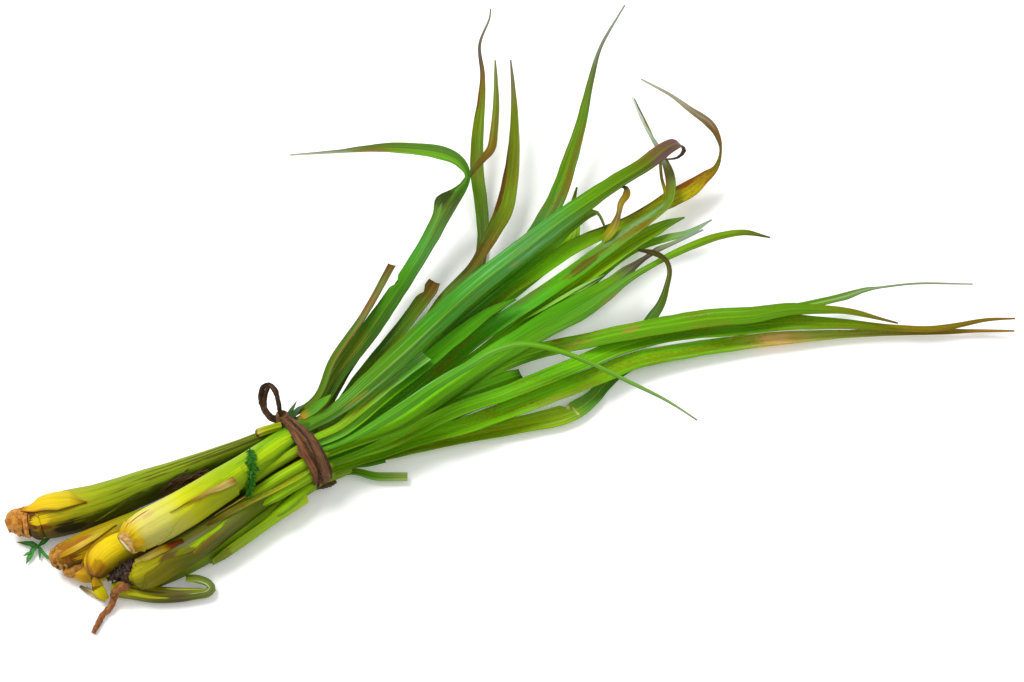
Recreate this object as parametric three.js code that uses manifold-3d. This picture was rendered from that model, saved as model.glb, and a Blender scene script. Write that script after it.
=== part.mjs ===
// A tied bunch of lemongrass lying on its side: stalks with bulbs, their leaves, and a fibre tie.
// Millimetres, +Z up. The origin is on the resting surface under the middle of the tie.
// +X runs along the bunch from the bulbs to the leaf tips.
import * as THREE from 'three';
import { mergeVertices } from 'three/addons/utils/BufferGeometryUtils.js';
import Module from 'manifold-3d';

const wasm = await Module();
wasm.setup();

// Driving dimensions.
const GAP = 0.35;              // clearance left between neighbouring pieces
const STALK_SIDES = 12;        // facets round a stalk
const SHOOT_SIDES = 8;         // facets round a thin shoot, strip or root
const STALK_STEPS = 1;         // sections of a stalk for each stretch between two places
const BLADE_STEPS = 2;         // the same for a leaf, a loose sheath and the tie's ends
const SIZE_TENSION = 0.3;      // tension of the curve through the widths and heights
const WELD = 1e-4;             // corners closer than this are joined
const BLADE_EDGE = 0.6;        // thickness of a leaf at its edges
const BLADE_RIB = 1.0;         // thickness of a leaf at its midrib
const BLADE_FOLD = 0.24;       // rise of a leaf's edges over its midrib, as a share of half its width
const BLADE_SOCKET = 3;        // places of a leaf that sit in the stalk it grows from
const TIE_CENTRE_Z = 16.2;     // height of the tie's middle
const TIE_HALF_WIDTH = 21.8;   // outer half-size of the tie along Y
const TIE_HALF_HEIGHT = 16.9;  // outer half-size of the tie along Z, so its foot is cut flat
const TIE_BAND = 7.6;          // breadth of the two turns along X
const TIE_THICK = 2.9;         // thickness of the turns
const TIE_GROOVE = 0.7;        // depth of the groove between the two turns
const TIE_BEVEL = 0.9;         // rounding of each turn's edges
const TIE_SIDES = 32;          // facets round the tie
const TIE_REACH = 12;          // how far outside the tie its space for cutting goes
const KNOT_SIZE = [4.4, 3.4, 2.6];   // half-sizes of the knot under the bow
const KNOT_PLACE = [-2.6, 15, 27.4];
const LOOP_WIDTH = 4.2;        // breadth of the strip in the bow and the tail
const LOOP_THICK = 2.2;        // thickness of that strip
const GROUND_SIZE = 1200;      // a block below the resting surface, to cut flat feet with
const GROUND_DEPTH = 60;

// Boolean work: three.js geometry to a solid and back.
function toSolid(geometry) {
  const bare = geometry.clone();
  bare.deleteAttribute('normal');
  bare.deleteAttribute('uv');
  const merged = mergeVertices(bare, WELD);
  const vertProperties = new Float32Array(merged.attributes.position.array);
  const triVerts = new Uint32Array(merged.index.array);
  return new wasm.Manifold(new wasm.Mesh({ numProp: 3, vertProperties, triVerts }));
}

function toGeometry(solid) {
  const mesh = solid.getMesh();
  const corners = new Float32Array(mesh.numVert * 3);
  for (let vertex = 0; vertex < mesh.numVert; vertex += 1) {
    for (let axis = 0; axis < 3; axis += 1) {
      corners[3 * vertex + axis] = mesh.vertProperties[vertex * mesh.numProp + axis];
    }
  }
  const geometry = new THREE.BufferGeometry();
  geometry.setAttribute('position', new THREE.BufferAttribute(corners, 3));
  geometry.setIndex(new THREE.BufferAttribute(new Uint32Array(mesh.triVerts), 1));
  geometry.computeVertexNormals();
  return geometry;
}

// A cut can leave a loose scrap; the piece is the largest body.
function largest(solid) {
  const bodies = solid.decompose();
  bodies.sort((a, b) => b.volume() - a.volume());
  return bodies[0];
}

// A closed sweep through places [x, y, z, width, height or roll], with a ring of an even number
// of corners at each section. The width runs level at the root and is carried along the curve.
function sweep(places, ring, steps, grow = 0) {
  const points = places.map(([x, y, z]) => new THREE.Vector3(x, y, z));
  const curve = new THREE.CatmullRomCurve3(points, false, 'centripetal');
  const spans = places.map(([, , , width, other = 0]) => new THREE.Vector3(width, other, 0));
  const sizes = new THREE.CatmullRomCurve3(spans, false, 'catmullrom', SIZE_TENSION);
  const count = (places.length - 1) * steps;
  const up = new THREE.Vector3(0, 0, 1);
  const corners = [];
  let side = null;
  let ringSize = 0;
  for (let step = 0; step <= count; step += 1) {
    const t = step / count;
    const middle = curve.getPoint(t);
    const along = curve.getTangent(t);
    side = side
      ? side.addScaledVector(along, -side.dot(along))
      : new THREE.Vector3().crossVectors(up, along);
    side.normalize();
    const over = new THREE.Vector3().crossVectors(along, side);
    if (grow > 0 && (step === 0 || step === count)) {
      middle.addScaledVector(along, step === 0 ? -grow : grow);
    }
    const size = sizes.getPoint(t);
    const offsets = ring(size.x, size.y, grow);
    ringSize = offsets.length;
    for (const [out, rise] of offsets) {
      corners.push(middle.clone().addScaledVector(side, out).addScaledVector(over, rise));
    }
  }
  return closedSkin(corners, ringSize, count);
}

// Faces of a sweep: walls between the rings, and a strip of triangles across each end.
function closedSkin(corners, ringSize, count) {
  const faces = [];
  for (let step = 0; step < count; step += 1) {
    for (let j = 0; j < ringSize; j += 1) {
      const a = step * ringSize + j;
      const b = step * ringSize + (j + 1) % ringSize;
      faces.push(a, a + ringSize, b, b, a + ringSize, b + ringSize);
    }
  }
  const end = count * ringSize;
  for (let j = 0; j < ringSize / 2 - 1; j += 1) {
    const [a, b, c, d] = [j, j + 1, ringSize - 2 - j, ringSize - 1 - j];
    faces.push(a, b, c, a, c, d, end + a, end + c, end + b, end + a, end + d, end + c);
  }
  const numbers = corners.flatMap((corner) => corner.toArray());
  const geometry = new THREE.BufferGeometry();
  geometry.setAttribute('position', new THREE.Float32BufferAttribute(numbers, 3));
  geometry.setIndex(faces);
  return toSolid(geometry);
}

// Rings: an oval for stalks, and a shallow channel with a thicker midrib for leaves.
function oval(sides) {
  return (width, height, grow) => Array.from({ length: sides }, (_, j) => {
    const angle = Math.PI - (j + 0.5) * 2 * Math.PI / sides;
    return [(width / 2 + grow) * Math.cos(angle), (height / 2 + grow) * Math.sin(angle)];
  });
}

function channel(width, roll, grow) {
  const turn = THREE.MathUtils.degToRad(roll);
  const half = width / 2 + grow;
  const rise = BLADE_FOLD * width / 4;
  const edge = BLADE_EDGE / 2 + grow;
  const rib = BLADE_RIB / 2 + grow;
  const section = [[-half, rise + edge], [0, rib - rise], [half, rise + edge],
    [half, rise - edge], [0, -rib - rise], [-half, rise - edge]];
  return section.map(([out, up]) => [
    out * Math.cos(turn) - up * Math.sin(turn),
    out * Math.sin(turn) + up * Math.cos(turn)]);
}

// Stalks: places down the middle from the root end to the top, as [x, y, z, width, height].
// Stalks 1, 3 and 6 lie on the surface and carry the others. The list is in the order of cutting:
// each stalk keeps its full shape only where no stalk before it is in the way.
const stalks = {
  stalk_2: [[-100, -11.5, 28, 12, 12], [-98.5, -11, 28, 13.5, 13.5], [-95, -10, 28, 17, 17],
    [-86, -9, 28, 19, 18.6], [-70, -8, 28, 18.5, 17.5], [-49, -5, 27.3, 17, 16],
    [-28, -1, 26, 14.5, 13.5], [-6, 3, 25, 13.5, 11.5], [4, 3.5, 25.5, 13.5, 11],
    [14, 2.2, 27.2, 13.5, 9], [26, 2.2, 28.6, 11.5, 6.5]],
  stalk_1: [[-141, 40.6, 9, 6, 6], [-137, 40, 9.3, 12.5, 12.5], [-131, 37.6, 9.4, 15, 14.5],
    [-127.5, 36, 9.5, 17.5, 16.5], [-122, 34.2, 10, 22.2, 20.8], [-112, 31.4, 10.2, 23, 21],
    [-97, 27.6, 10.4, 20.8, 20], [-78, 25.4, 11, 17.4, 17], [-56, 22, 12, 14, 15],
    [-38, 18.6, 13.5, 12, 15], [-18, 15, 15, 10.6, 16], [0, 13.6, 16, 11, 16],
    [14, 17, 15.5, 9, 15], [26, 22.5, 15.2, 6.5, 12.5]],
  stalk_3: [[-131, 12, 7.5, 6, 6], [-129, 11.5, 8, 11, 10], [-123, 10, 8.4, 15.3, 15],
    [-113, 9, 8.3, 17.3, 17.6], [-97, 8, 8.3, 16.4, 17], [-76, 7, 8.4, 14.5, 15.5],
    [-48, 7, 8, 13, 12], [-22, 7, 7.2, 13, 10], [0, 6.5, 7.4, 13, 8.5], [14, 8, 7.5, 11.5, 8.5],
    [26, 10, 7.8, 9.5, 7.5]],
  shoot_a: [[-42, -6.5, 20, 3, 2.5], [-33, -7, 22, 4.5, 4], [-19, -6, 24, 5, 5],
    [-4, -5.5, 25.5, 5.5, 5], [14, -7, 26.8, 6.6, 5], [25, -7.5, 27.2, 6, 4]],
  shoot_b: [[-42, -12, 17, 3, 3], [-29, -12, 19, 6, 5], [-17, -12, 21, 6, 6], [0, -12, 22, 6, 6.5],
    [14, -13, 22.2, 6, 7.5], [25, -13.8, 22.2, 5.5, 7]],
  shoot_c: [[-40, -17, 14, 3, 3], [-25, -17.5, 16.5, 6, 5], [-14, -17, 17, 6, 6],
    [0, -16, 17, 5.5, 7], [14, -16.3, 16.3, 6, 7], [25, -16.8, 15.8, 5.5, 6]],
  shoot_d: [[-36, -23, 9, 3, 3], [-23, -22.5, 11, 5.5, 4.5], [-13, -20, 11.5, 6, 5],
    [0, -16.8, 11, 5, 5.5], [14, -17.8, 10.7, 5.5, 6], [25, -18.3, 10.7, 5, 5]],
  stalk_6: [[-99, -22, 5.5, 5, 5], [-97, -22, 5.8, 8, 8], [-90, -22.4, 5.6, 9, 10],
    [-78, -22.4, 5.4, 10, 11.5], [-58, -21.4, 5.6, 10.5, 11.5], [-36, -18.2, 6.2, 10.5, 10.5],
    [-17, -14, 6.8, 12, 10], [0, -10.5, 7, 14, 9.5], [14, -12, 7.3, 13, 9], [25, -13, 7.3, 11, 8]],
  stalk_5: [[-107.5, -17, 10.3, 5, 5], [-105.5, -17.6, 10.7, 8, 7.5], [-102, -19, 11.3, 9, 8.5],
    [-100.5, -19.8, 11.7, 14, 14], [-94, -20.5, 12.5, 16, 16], [-86, -20, 13, 16.4, 16.4],
    [-69, -19, 13, 15.3, 15.3], [-49, -16, 13, 13, 13], [-31, -13.5, 13.5, 11, 12],
    [-13, -11, 14.5, 10, 11], [0, -9, 16, 10, 11], [14, -8.5, 16.3, 9.5, 9.5], [26, -8.5, 16.6, 8, 7]],
  stalk_4: [[-118.5, -9, 12, 6, 6], [-117, -8, 12.4, 11, 11], [-112.5, -4.5, 13.2, 16, 16],
    [-105, -2.6, 13.6, 17.6, 17], [-95, -3.2, 13, 16.5, 16.5], [-80, -3.5, 12.5, 15, 15],
    [-50, -2.5, 12.5, 12, 13], [-20, 0, 14, 11, 11], [0, 1, 15, 10.5, 10],
    [14, 1, 17, 10, 9.5], [26, 1.4, 18, 8.5, 7.5]],
};

// Leaves: places down the middle from the root to the tip, as [x, y, z, width, roll].
const leaves = {
  leaf_01: [[20, 20.8, 20.8, 3.6], [39, 37, 21.5, 4], [66, 53.8, 20.8, 3.8], [96, 76.6, 19, 4.2]],
  leaf_02: [[20, 18, 17.3, 5], [38, 31, 17, 9], [63, 45, 17, 10.7], [90.5, 61.6, 17, 9.4],
    [117.5, 77.8, 20, 8.8], [138.5, 89.8, 28, 9, 10], [154, 96, 34, 3.2, 40], [155, 104, 37, 5.8, 20],
    [151, 116, 36, 8, 10], [134, 138, 30, 5.9], [122, 149, 26, 3.8], [109, 159, 22, 1.9],
    [89, 174, 17, 0.9]],
  leaf_03: [[20, 17, 12.8, 5], [42, 33, 12.5, 6.5], [67, 49, 12, 7], [93, 65.5, 12, 6.8],
    [121, 82.5, 13, 6], [147, 98, 20, 4.5], [158, 102, 27, 2.7, 40], [169, 106.5, 29, 3.7, 30],
    [178, 111.5, 28, 4.8], [186, 121.5, 27, 4.3], [199.5, 141, 24, 3.5], [210.5, 159, 22, 2.2],
    [219, 173.5, 20, 0.9]],
  leaf_04: [[20, 11, 5.5, 5], [40, 20, 4.4, 5.5], [76, 35, 2, 6.2], [112, 51, 1.1, 6.3],
    [138, 62, 1.2, 6.3], [151, 76.5, 2, 6], [161, 93.5, 6, 7], [171.5, 115.5, 11, 7.4],
    [184, 135, 15, 6.5], [198, 154, 17, 4.4], [208, 169, 18, 2.8], [219, 190, 18, 1.7], [236, 207, 16, 1.1],
    [241, 214, 15, 0.9]],
  leaf_05: [[20, 6, 8.8, 4.5], [77, 31, 8, 4.6], [112, 52, 8, 4.2], [136, 61, 9, 5.2],
    [151, 70, 11, 7.8], [168, 82.5, 12, 10], [181.5, 97.5, 14, 8.6], [193, 112.5, 16, 6.7],
    [207, 134, 18, 4.1], [219, 155, 19, 2.2], [227, 170, 19, 0.9]],
  leaf_06: [[20, 13.5, 9, 4.5], [51, 29.8, 8.6, 6.3], [83.5, 45, 9.5, 7.4], [112.5, 60.2, 11, 8.4]],
  leaf_07: [[20, 2, 30.5, 8], [34, 4, 32.5, 10.5], [63, 12, 34.5, 12.9], [93, 22, 34.5, 13.6],
    [123, 32, 33, 13.8], [152, 40, 31, 13.4], [184, 48, 30, 12.5], [216, 54, 29, 11.6],
    [241, 58, 28, 10.6], [260, 63, 27, 9.5], [268, 64.5, 24, 7.5], [269.5, 62, 20, 5], [265, 61, 18, 3.2],
    [259, 64, 17, 1.6]],
  leaf_08: [[20, 1, 26, 5.5], [40, 4, 25.8, 7], [68, 12, 25.5, 9], [97, 21, 26.2, 10.1],
    [127, 29, 27, 10.2], [152, 36, 26, 9.8], [173, 42, 25, 8.9], [189, 46, 25, 6.8],
    [200, 48, 24, 5.3], [204, 47, 23, 3.7], [204, 42, 21, 2.6], [203, 37, 19, 1.6]],
  leaf_09: [[20, 2, 18.8, 5], [60, 7.5, 18, 9], [95, 18, 17.2, 10.1], [125, 26, 17.2, 10.8],
    [154, 34, 17, 11.4], [173, 39, 16.5, 11.5], [186, 46, 14.5, 9.5], [197, 58, 11, 6],
    [205, 71, 8, 2.7], [213, 80, 6.5, 0.9]],
  leaf_10: [[20, 2, 14.8, 4.5], [40, 8, 13.5, 5.5], [65, 15, 12.5, 6.6], [102, 28, 11, 7.7],
    [137, 41, 10, 8.3], [163, 54, 10, 9.5], [183, 65.6, 11, 10.1], [198, 75.6, 13, 9.6],
    [216, 91.6, 16, 8.1], [233, 107.6, 19, 6], [255.5, 131.8, 21, 3.6], [273, 149, 22, 2],
    [304, 171, 21, 0.9]],
  leaf_11: [[20, -2, 21.6, 5], [56, 2, 22.5, 8], [86, 12, 22.5, 9.2], [112, 20, 22.8, 9.2],
    [134, 27, 23, 8.7], [158, 31, 22, 9.3], [182, 36, 20, 9.4], [217, 38, 16, 7.4], [234, 40, 14, 8],
    [247.5, 41.8, 12, 11], [260.5, 42.6, 12, 11], [271.5, 44.6, 13, 7], [280, 46, 15, 3.2, 40],
    [287, 52, 18, 2.2, 70], [291, 61, 20, 3.8, 40], [292, 70, 21, 4.9, 10], [289, 85, 21, 3.3],
    [287, 99, 20, 1.9], [281, 120, 18, 0.9]],
  leaf_12: [[19, -5.5, 28.4, 4.5], [37, -1, 30.5, 7.5], [57, 4.5, 31, 9], [76, 8, 31, 8.5]],
  leaf_13: [[19, -8.5, 26.4, 4.5], [50, 0, 28, 8.2], [74, 6, 28, 9], [98, 12, 28.5, 8.1],
    [119, 17, 27.5, 5.6], [135, 18, 26.5, 1.5]],
  leaf_14: [[20, -6.5, 18.4, 5], [53, -3.5, 20.3, 7.4], [81, 4, 19.8, 8.5], [106, 11, 19.4, 9.1],
    [129, 15, 19.5, 9.2], [152, 18, 20, 9.3], [176, 22, 20, 9.3], [194, 25, 21, 8.9],
    [213, 28, 22, 7.9], [230, 31, 22, 5.8], [241, 35, 21, 4.8], [249, 44, 19, 5.3],
    [255, 54, 17, 5.4], [260.5, 69.2, 15, 3.3], [266, 95.3, 14, 1.4], [271.5, 114, 14, 0.9]],
  leaf_15: [[20, -8.5, 14.8, 5], [57, -7.5, 16.5, 7], [84, -1, 16, 8], [119, 7, 15, 8.7],
    [150, 14, 15, 9.3], [174, 18, 16, 9.9], [192, 21, 17, 10.4], [209, 24, 17, 9.4],
    [224, 25, 17, 7.9], [235, 26, 16, 5.3], [245, 25, 16, 1.1]],
  leaf_16: [[20, -9.5, 10.6, 4.5], [63, -7, 11.3, 5], [104, 2, 11, 5.6], [144, 9, 11, 5.7],
    [180, 17, 11, 5.7], [203, 23, 11, 5.3], [216, 23, 12, 4.2], [230, 20, 13, 4.7],
    [243, 17, 13, 3.7], [258, 18, 13, 0.9]],
  leaf_17: [[20, -12.3, 19.2, 4.2], [48, -12.5, 20.3, 6.5], [75, -8, 20.5, 8], [101, -2, 20, 8.1],
    [127, 1, 20, 8.6], [150, 4, 19, 9.2], [171, 5, 19, 8.7], [187, 6, 19, 7.8], [196, 8, 19, 6.2, 30],
    [205, 10, 19, 3.6, 60], [211, 11, 19, 2.6, 60], [218, 12, 19, 3.1, 20], [228, 12, 18, 2.4],
    [248, 12, 17, 0.9]],
  leaf_18: [[20, -14.5, 22.4, 4.2], [45, -18, 24, 5.9], [76, -14, 24.5, 6.4], [109, -9, 24, 7],
    [138, -6, 23, 8.1], [160, -5, 22.5, 8.2], [177, -2, 22, 6.7], [191, 1, 22, 4.6],
    [210.5, 2.8, 22, 3.3], [222.5, 2, 23.5, 4.4], [237.5, 0, 25, 4.9], [249.5, -2, 25, 4.6],
    [261.5, -6, 24, 3.8], [273, -13, 20, 0.9]],
  leaf_19: [[20, -12, 4.6, 4], [59, -13, 3, 4.5], [105, -15, 3, 4.6], [140, -16, 3, 5.1],
    [168, -20, 4, 5.1], [185, -21, 6, 5.7], [196, -18, 10, 5.7], [203, -15.5, 14, 4.6],
    [209, -11, 19, 3.1], [214, -6, 23, 2.6], [215, -1, 26, 2.6], [212, 5, 27.5, 3.1],
    [206, 12, 27, 1.4]],
  leaf_20: [[20, -14.8, 13.8, 4.5], [48, -13.8, 14, 6.5], [73, -10, 14.3, 8], [95, -7, 14.6, 8.6],
    [116, -7, 15, 9.1], [134.5, -10, 15, 9.4], [154.5, -16.3, 15, 9.6], [175, -22.6, 15, 10.4],
    [196, -29.8, 15, 11], [218, -38, 15, 11.6], [236, -47.2, 15, 10.6], [256, -55, 15, 8.2],
    [269, -63, 15, 5.7], [281, -71, 14, 4.1], [300, -89, 11, 1]],
  leaf_21: [[20, -17.6, 17.2, 4.5], [35, -20, 18, 7.5], [78, -21, 18, 8.9], [100, -24, 17, 9],
    [123, -25, 15, 9.6], [149, -26, 13, 9.6], [167, -26, 11, 9.7], [182, -28, 10, 10.2],
    [202, -34, 10, 11.3], [229, -47, 10, 11.3], [252, -58, 10, 10.3], [276, -73, 9, 6.7],
    [297, -87, 7, 4.1], [316, -99, 6, 4.1], [343, -110, 7.5, 2.1], [355, -117, 8, 0.9]],
  leaf_22: [[20, -18, 12.2, 4.5], [33, -19.5, 12, 7], [54, -22, 12, 8.9], [75, -27, 12, 9.9],
    [108, -31, 11, 11], [131, -33, 10, 11.1], [155, -35, 9, 11.2], [173, -36, 8, 10.7],
    [189.5, -40, 6.5, 10.4], [217.5, -49.4, 5, 9.8], [241.5, -59.2, 4.5, 8.8], [283.5, -79.8, 3.5, 5],
    [322, -102, 3, 3.6], [335, -110, 3.5, 2.1], [352, -121, 4, 0.9]],
  leaf_23: [[20, -15.6, 7, 4.5], [45, -19.3, 5.3, 8], [75, -27.6, 4.3, 9], [104.5, -36.6, 3.3, 10.5],
    [124, -42, 2.8, 12], [135, -42.8, 2.8, 10.5], [144, -41, 2.6, 8.4], [152.5, -37.5, 2.2, 7.6],
    [163, -34, 2, 7.8], [176, -33, 2, 7.6], [192, -36, 1.8, 6], [206, -41, 1.4, 3]],
  leaf_24: [[20, -13, 25.4, 3.2], [34, -14.5, 29, 5], [47, -15, 32, 6.4], [69, -12, 33, 5.9],
    [91, -10, 33, 5], [106, -9, 33, 4.5], [118, -12, 33, 4], [128, -19, 32, 3.5], [142, -35, 29, 3],
    [154, -53, 25, 2.5], [167, -72, 20, 1.7], [175, -88, 16, 0.9]],
  leaf_25: [[20, -10.5, 7.4, 4.5], [51, -8, 7.8, 7], [75, -7, 8.3, 8], [98, -10, 8.6, 8.6],
    [119, -13, 8.8, 9.1]],
  leaf_26: [[17, -17, 5.2, 4], [27, -25.4, 3.6, 4.9], [40, -33.4, 3, 4.9]],
  leaf_27: [[18, -17, 9.6, 3.6], [25, -19.5, 9.2, 4.3], [34, -22, 9, 4.4]],
};

// Scales and peeled sheath edges that stay joined to their stalk, and a root on the bent sheath.
const joinedStrips = {
  stalk_4: [
    [[-124, 1.4, 5.4, 5, 5], [-120, -1.6, 5, 8.4, 8.4], [-113, -4.6, 5.2, 9, 9], [-102, -6.4, 6, 6, 8]],
    [[-117.5, -9, 10.5, 2.5, 1.8], [-118.6, -12.5, 7.8, 5.5, 1.6], [-118.4, -16, 5.2, 5.5, 1.5],
      [-117.4, -19, 3.4, 3, 1.3]],
  ],
  stalk_5: [
    [[-99, -16.6, 18, 3.5, 1.4], [-92, -18.6, 20.8, 4.4, 1.5], [-85, -19.2, 21.8, 4.4, 1.5],
      [-75, -19.6, 21.2, 2.2, 1.3]],
  ],
  bent_sheath: [
    [[-109, -19, 5.5, 3.2, 3.2], [-113.5, -19.8, 4, 2.8, 2.6], [-117, -22.5, 2.2, 2.6, 2.4],
      [-122, -24.3, 1.5, 2.4, 2.2], [-125.6, -26.6, 1.4, 2.2, 2],
      [-130.4, -30.6, 1.2, 1.8, 1.6]],
  ],
};

// Torn strips that stay joined to the blade they were torn from.
const tornStrips = {
  leaf_14: [
    [[234, 31.5, 21.8, 3], [243, 40, 19.5, 2.6], [250, 54, 17, 2.1], [259, 69.5, 15, 2.2],
      [264.5, 84.5, 14, 1.5], [272, 113, 13.6, 0.9]],
    [[184, 24, 20.6, 4], [197, 30, 21.8, 5.2], [206, 34, 23.5, 5.2], [212, 39, 25, 4.2],
      [217, 44, 26, 3.7], [222, 46, 27, 4.2], [224, 51, 27, 2.6], [221, 55, 26, 1.1]]],
  leaf_21: [
    [[230, -45, 10.6, 4], [240, -46, 11.2, 4.4], [254, -50.5, 11.4, 5.2], [270, -55.5, 11, 6.2],
      [287, -60, 10.5, 5.7], [299, -62, 10.5, 3.6], [307, -65, 10.5, 1.6], [324, -73, 11, 1.6],
      [349, -89, 11, 0.9]]],
};

// Loose sheath strips, roots and sprigs, with the same kinds of places as the stalks.
const bits = {
  cut_sheath: [[-66, -29.6, 7.5, 2.2, 4], [-58, -28.6, 8, 2.6, 8], [-45, -26.4, 8, 2.8, 8.5],
    [-30, -24, 8.2, 2.8, 8], [-18, -22.6, 8.6, 2.8, 8], [-10, -21.8, 8.8, 3, 8]],
  bent_sheath: [[-113, -15.6, 6, 5, 5], [-109.5, -18, 5.5, 9, 9.4], [-104, -22.6, 4.8, 8.8, 9],
    [-97, -28.6, 4.3, 8.8, 8.5], [-88, -34.6, 4, 7.5, 7.6], [-80, -38.8, 3.8, 5.5, 7],
    [-75.5, -41.2, 4, 3.4, 6.6], [-72.6, -40.8, 4.6, 2.6, 6.6], [-72.6, -37.8, 5.6, 2.6, 6.6],
    [-76, -34, 7, 3, 6.6], [-81, -31, 8, 2.4, 6]],
  dry_scrap: [[-124.5, -4, 1.1, 1.4, 1.2], [-122.5, -8, 1.2, 2.8, 1.6], [-120, -13, 1.2, 2.8, 1.6],
    [-118.5, -16.5, 1, 1.6, 1.2]],
};

// Feathery green sprigs, one on the surface by the bulbs and one hanging over the second stalk.
const sprigs = {
  sprig_by_bulbs: [
    [[-126, 20.5, 1.6, 1.6, 1.6], [-131, 24, 1.8, 1.8, 1.6], [-136, 29, 1.6, 1.8, 1.4],
      [-140, 35, 1.1, 1, 1]],
    [[-131, 24, 1.8, 1.6, 1.4], [-136, 22.5, 1.6, 1.8, 1.4], [-140.5, 20.5, 1.1, 1, 1]],
    [[-129, 22.5, 1.7, 1.6, 1.4], [-131, 19.5, 1.5, 1.6, 1.4], [-134, 17, 1, 1, 1]],
    [[-134, 27, 1.7, 1.6, 1.4], [-133, 31, 1.5, 1.6, 1.4], [-130, 33, 1, 1, 1]]],
  sprig_by_tie: [
    [[-26, 2.5, 34.1, 1.4, 1.2], [-28, -3.5, 33.9, 1.8, 1.4], [-30.5, -8, 31.6, 1.8, 1.4],
      [-33, -11, 27.5, 1.6, 1.4], [-36, -13.5, 23, 1.2, 1.2]],
    [[-28, -3.5, 33.9, 1.6, 1.2], [-32.5, -5.5, 33.7, 1.6, 1.2], [-35.5, -6.5, 33.4, 1, 1]],
    [[-30.5, -8, 31.6, 1.6, 1.2], [-26.5, -9.8, 30.6, 1.6, 1.2], [-24, -10.2, 29.8, 1, 1]]],
};

const ground = toSolid(new THREE.BoxGeometry(GROUND_SIZE, GROUND_SIZE, GROUND_DEPTH)
  .translate(0, 0, -GROUND_DEPTH / 2));

// The tie: two turns of fibre round the bunch, a bow standing on its far side and a short tail.
function tieRing(halfWidth, halfHeight, thick, band, groove) {
  const half = band / 2;
  const outer = halfWidth;
  const inner = halfWidth - thick;
  const outline = [[inner, -half], [outer - TIE_BEVEL, -half], [outer, -half + TIE_BEVEL],
    [outer, -TIE_BEVEL], [outer - groove, 0], [outer, TIE_BEVEL],
    [outer, half - TIE_BEVEL], [outer - TIE_BEVEL, half], [inner, half], [inner, -half]];
  const profile = outline.map(([radius, along]) => new THREE.Vector2(radius, along));
  return toSolid(new THREE.LatheGeometry(profile, TIE_SIDES)
    .rotateZ(-Math.PI / 2)
    .scale(1, 1, halfHeight / halfWidth)
    .translate(0, 0, TIE_CENTRE_Z));
}

const stripRing = oval(SHOOT_SIDES);
const bowPoints = [[-4.6, 14.4, 27], [-7.6, 15.6, 29.5], [-8.4, 21, 32.5], [-7.2, 25.8, 36],
  [-4, 28, 39.4], [-1.4, 27, 41], [-0.4, 23, 39.4], [-1, 19, 35], [-2.6, 15, 28]];
const bow = bowPoints.map((point) => [...point, LOOP_WIDTH, LOOP_THICK]);
const tail = [[1, -15.6, 5.6, 4, 3], [4.8, -16.8, 5.4, 3.8, 3], [8.2, -17.4, 5, 3.6, 2.8],
  [11.2, -17.6, 4.6, 2.4, 2]];
const knot = toSolid(new THREE.SphereGeometry(1, 10, 6)
  .scale(...KNOT_SIZE)
  .translate(...KNOT_PLACE));
const tie = tieRing(TIE_HALF_WIDTH, TIE_HALF_HEIGHT, TIE_THICK, TIE_BAND, TIE_GROOVE)
  .add(knot)
  .add(sweep(bow, stripRing, BLADE_STEPS))
  .add(sweep(tail, stripRing, BLADE_STEPS))
  .subtract(ground);

// What the tie takes out of everything that passes through it or beside its tail.
const roundness = TIE_HALF_HEIGHT / TIE_HALF_WIDTH;
const reach = TIE_HALF_WIDTH + TIE_REACH;
const squeeze = tieRing(reach, reach * roundness, TIE_THICK + TIE_REACH + GAP, TIE_BAND + 2 * GAP, 0)
  .add(sweep(tail, stripRing, BLADE_STEPS, GAP));

// What the roots of the leaves take out of the stalks that they sit in.
const sockets = Object.values(leaves)
  .map((places) => sweep(places.slice(0, BLADE_SOCKET), channel, BLADE_STEPS, GAP));

const colours = {
  stalk: { color: 0xb9c24a, roughness: 0.45 },
  shoot: { color: 0x8fb03c, roughness: 0.5 },
  leaf: { color: 0x4f8f2c, roughness: 0.55 },
  sheath: { color: 0x8f9a52, roughness: 0.6 },
  sprig: { color: 0x2f5a24, roughness: 0.6 },
  tie: { color: 0x3c1f18, roughness: 0.8 },
};

const bunch = new THREE.Group();

function addPiece(name, solid, kind) {
  const material = new THREE.MeshStandardMaterial({ ...colours[kind], metalness: 0 });
  const mesh = new THREE.Mesh(toGeometry(solid), material);
  mesh.name = name;
  bunch.add(mesh);
}

function addAll(solid, places, ring, steps) {
  return places.reduce((sum, strip) => sum.add(sweep(strip, ring, steps)), solid);
}

function cutAll(solid, others) {
  return largest(others.reduce((rest, other) => rest.subtract(other), solid));
}

// Each stalk gives way to those before it, to the tie and to the leaf roots that sit in it.
const stalkRing = oval(STALK_SIDES);
const taken = [squeeze, ground];
for (const [name, places] of Object.entries(stalks)) {
  const isShoot = name.startsWith('shoot');
  const ring = isShoot ? stripRing : stalkRing;
  const middle = sweep(places, ring, STALK_STEPS);
  const whole = addAll(middle, joinedStrips[name] ?? [], stripRing, STALK_STEPS);
  addPiece(name, cutAll(whole, [...taken, ...sockets]), isShoot ? 'shoot' : 'stalk');
  taken.push(sweep(places, ring, STALK_STEPS, GAP));
}

for (const [name, places] of Object.entries(leaves)) {
  const blade = sweep(places, channel, BLADE_STEPS);
  addPiece(name, addAll(blade, tornStrips[name] ?? [], channel, STALK_STEPS), 'leaf');
}

for (const [name, places] of Object.entries(bits)) {
  const strip = sweep(places, stripRing, BLADE_STEPS);
  const whole = addAll(strip, joinedStrips[name] ?? [], stripRing, STALK_STEPS);
  addPiece(name, cutAll(whole, taken), 'sheath');
}

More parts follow.
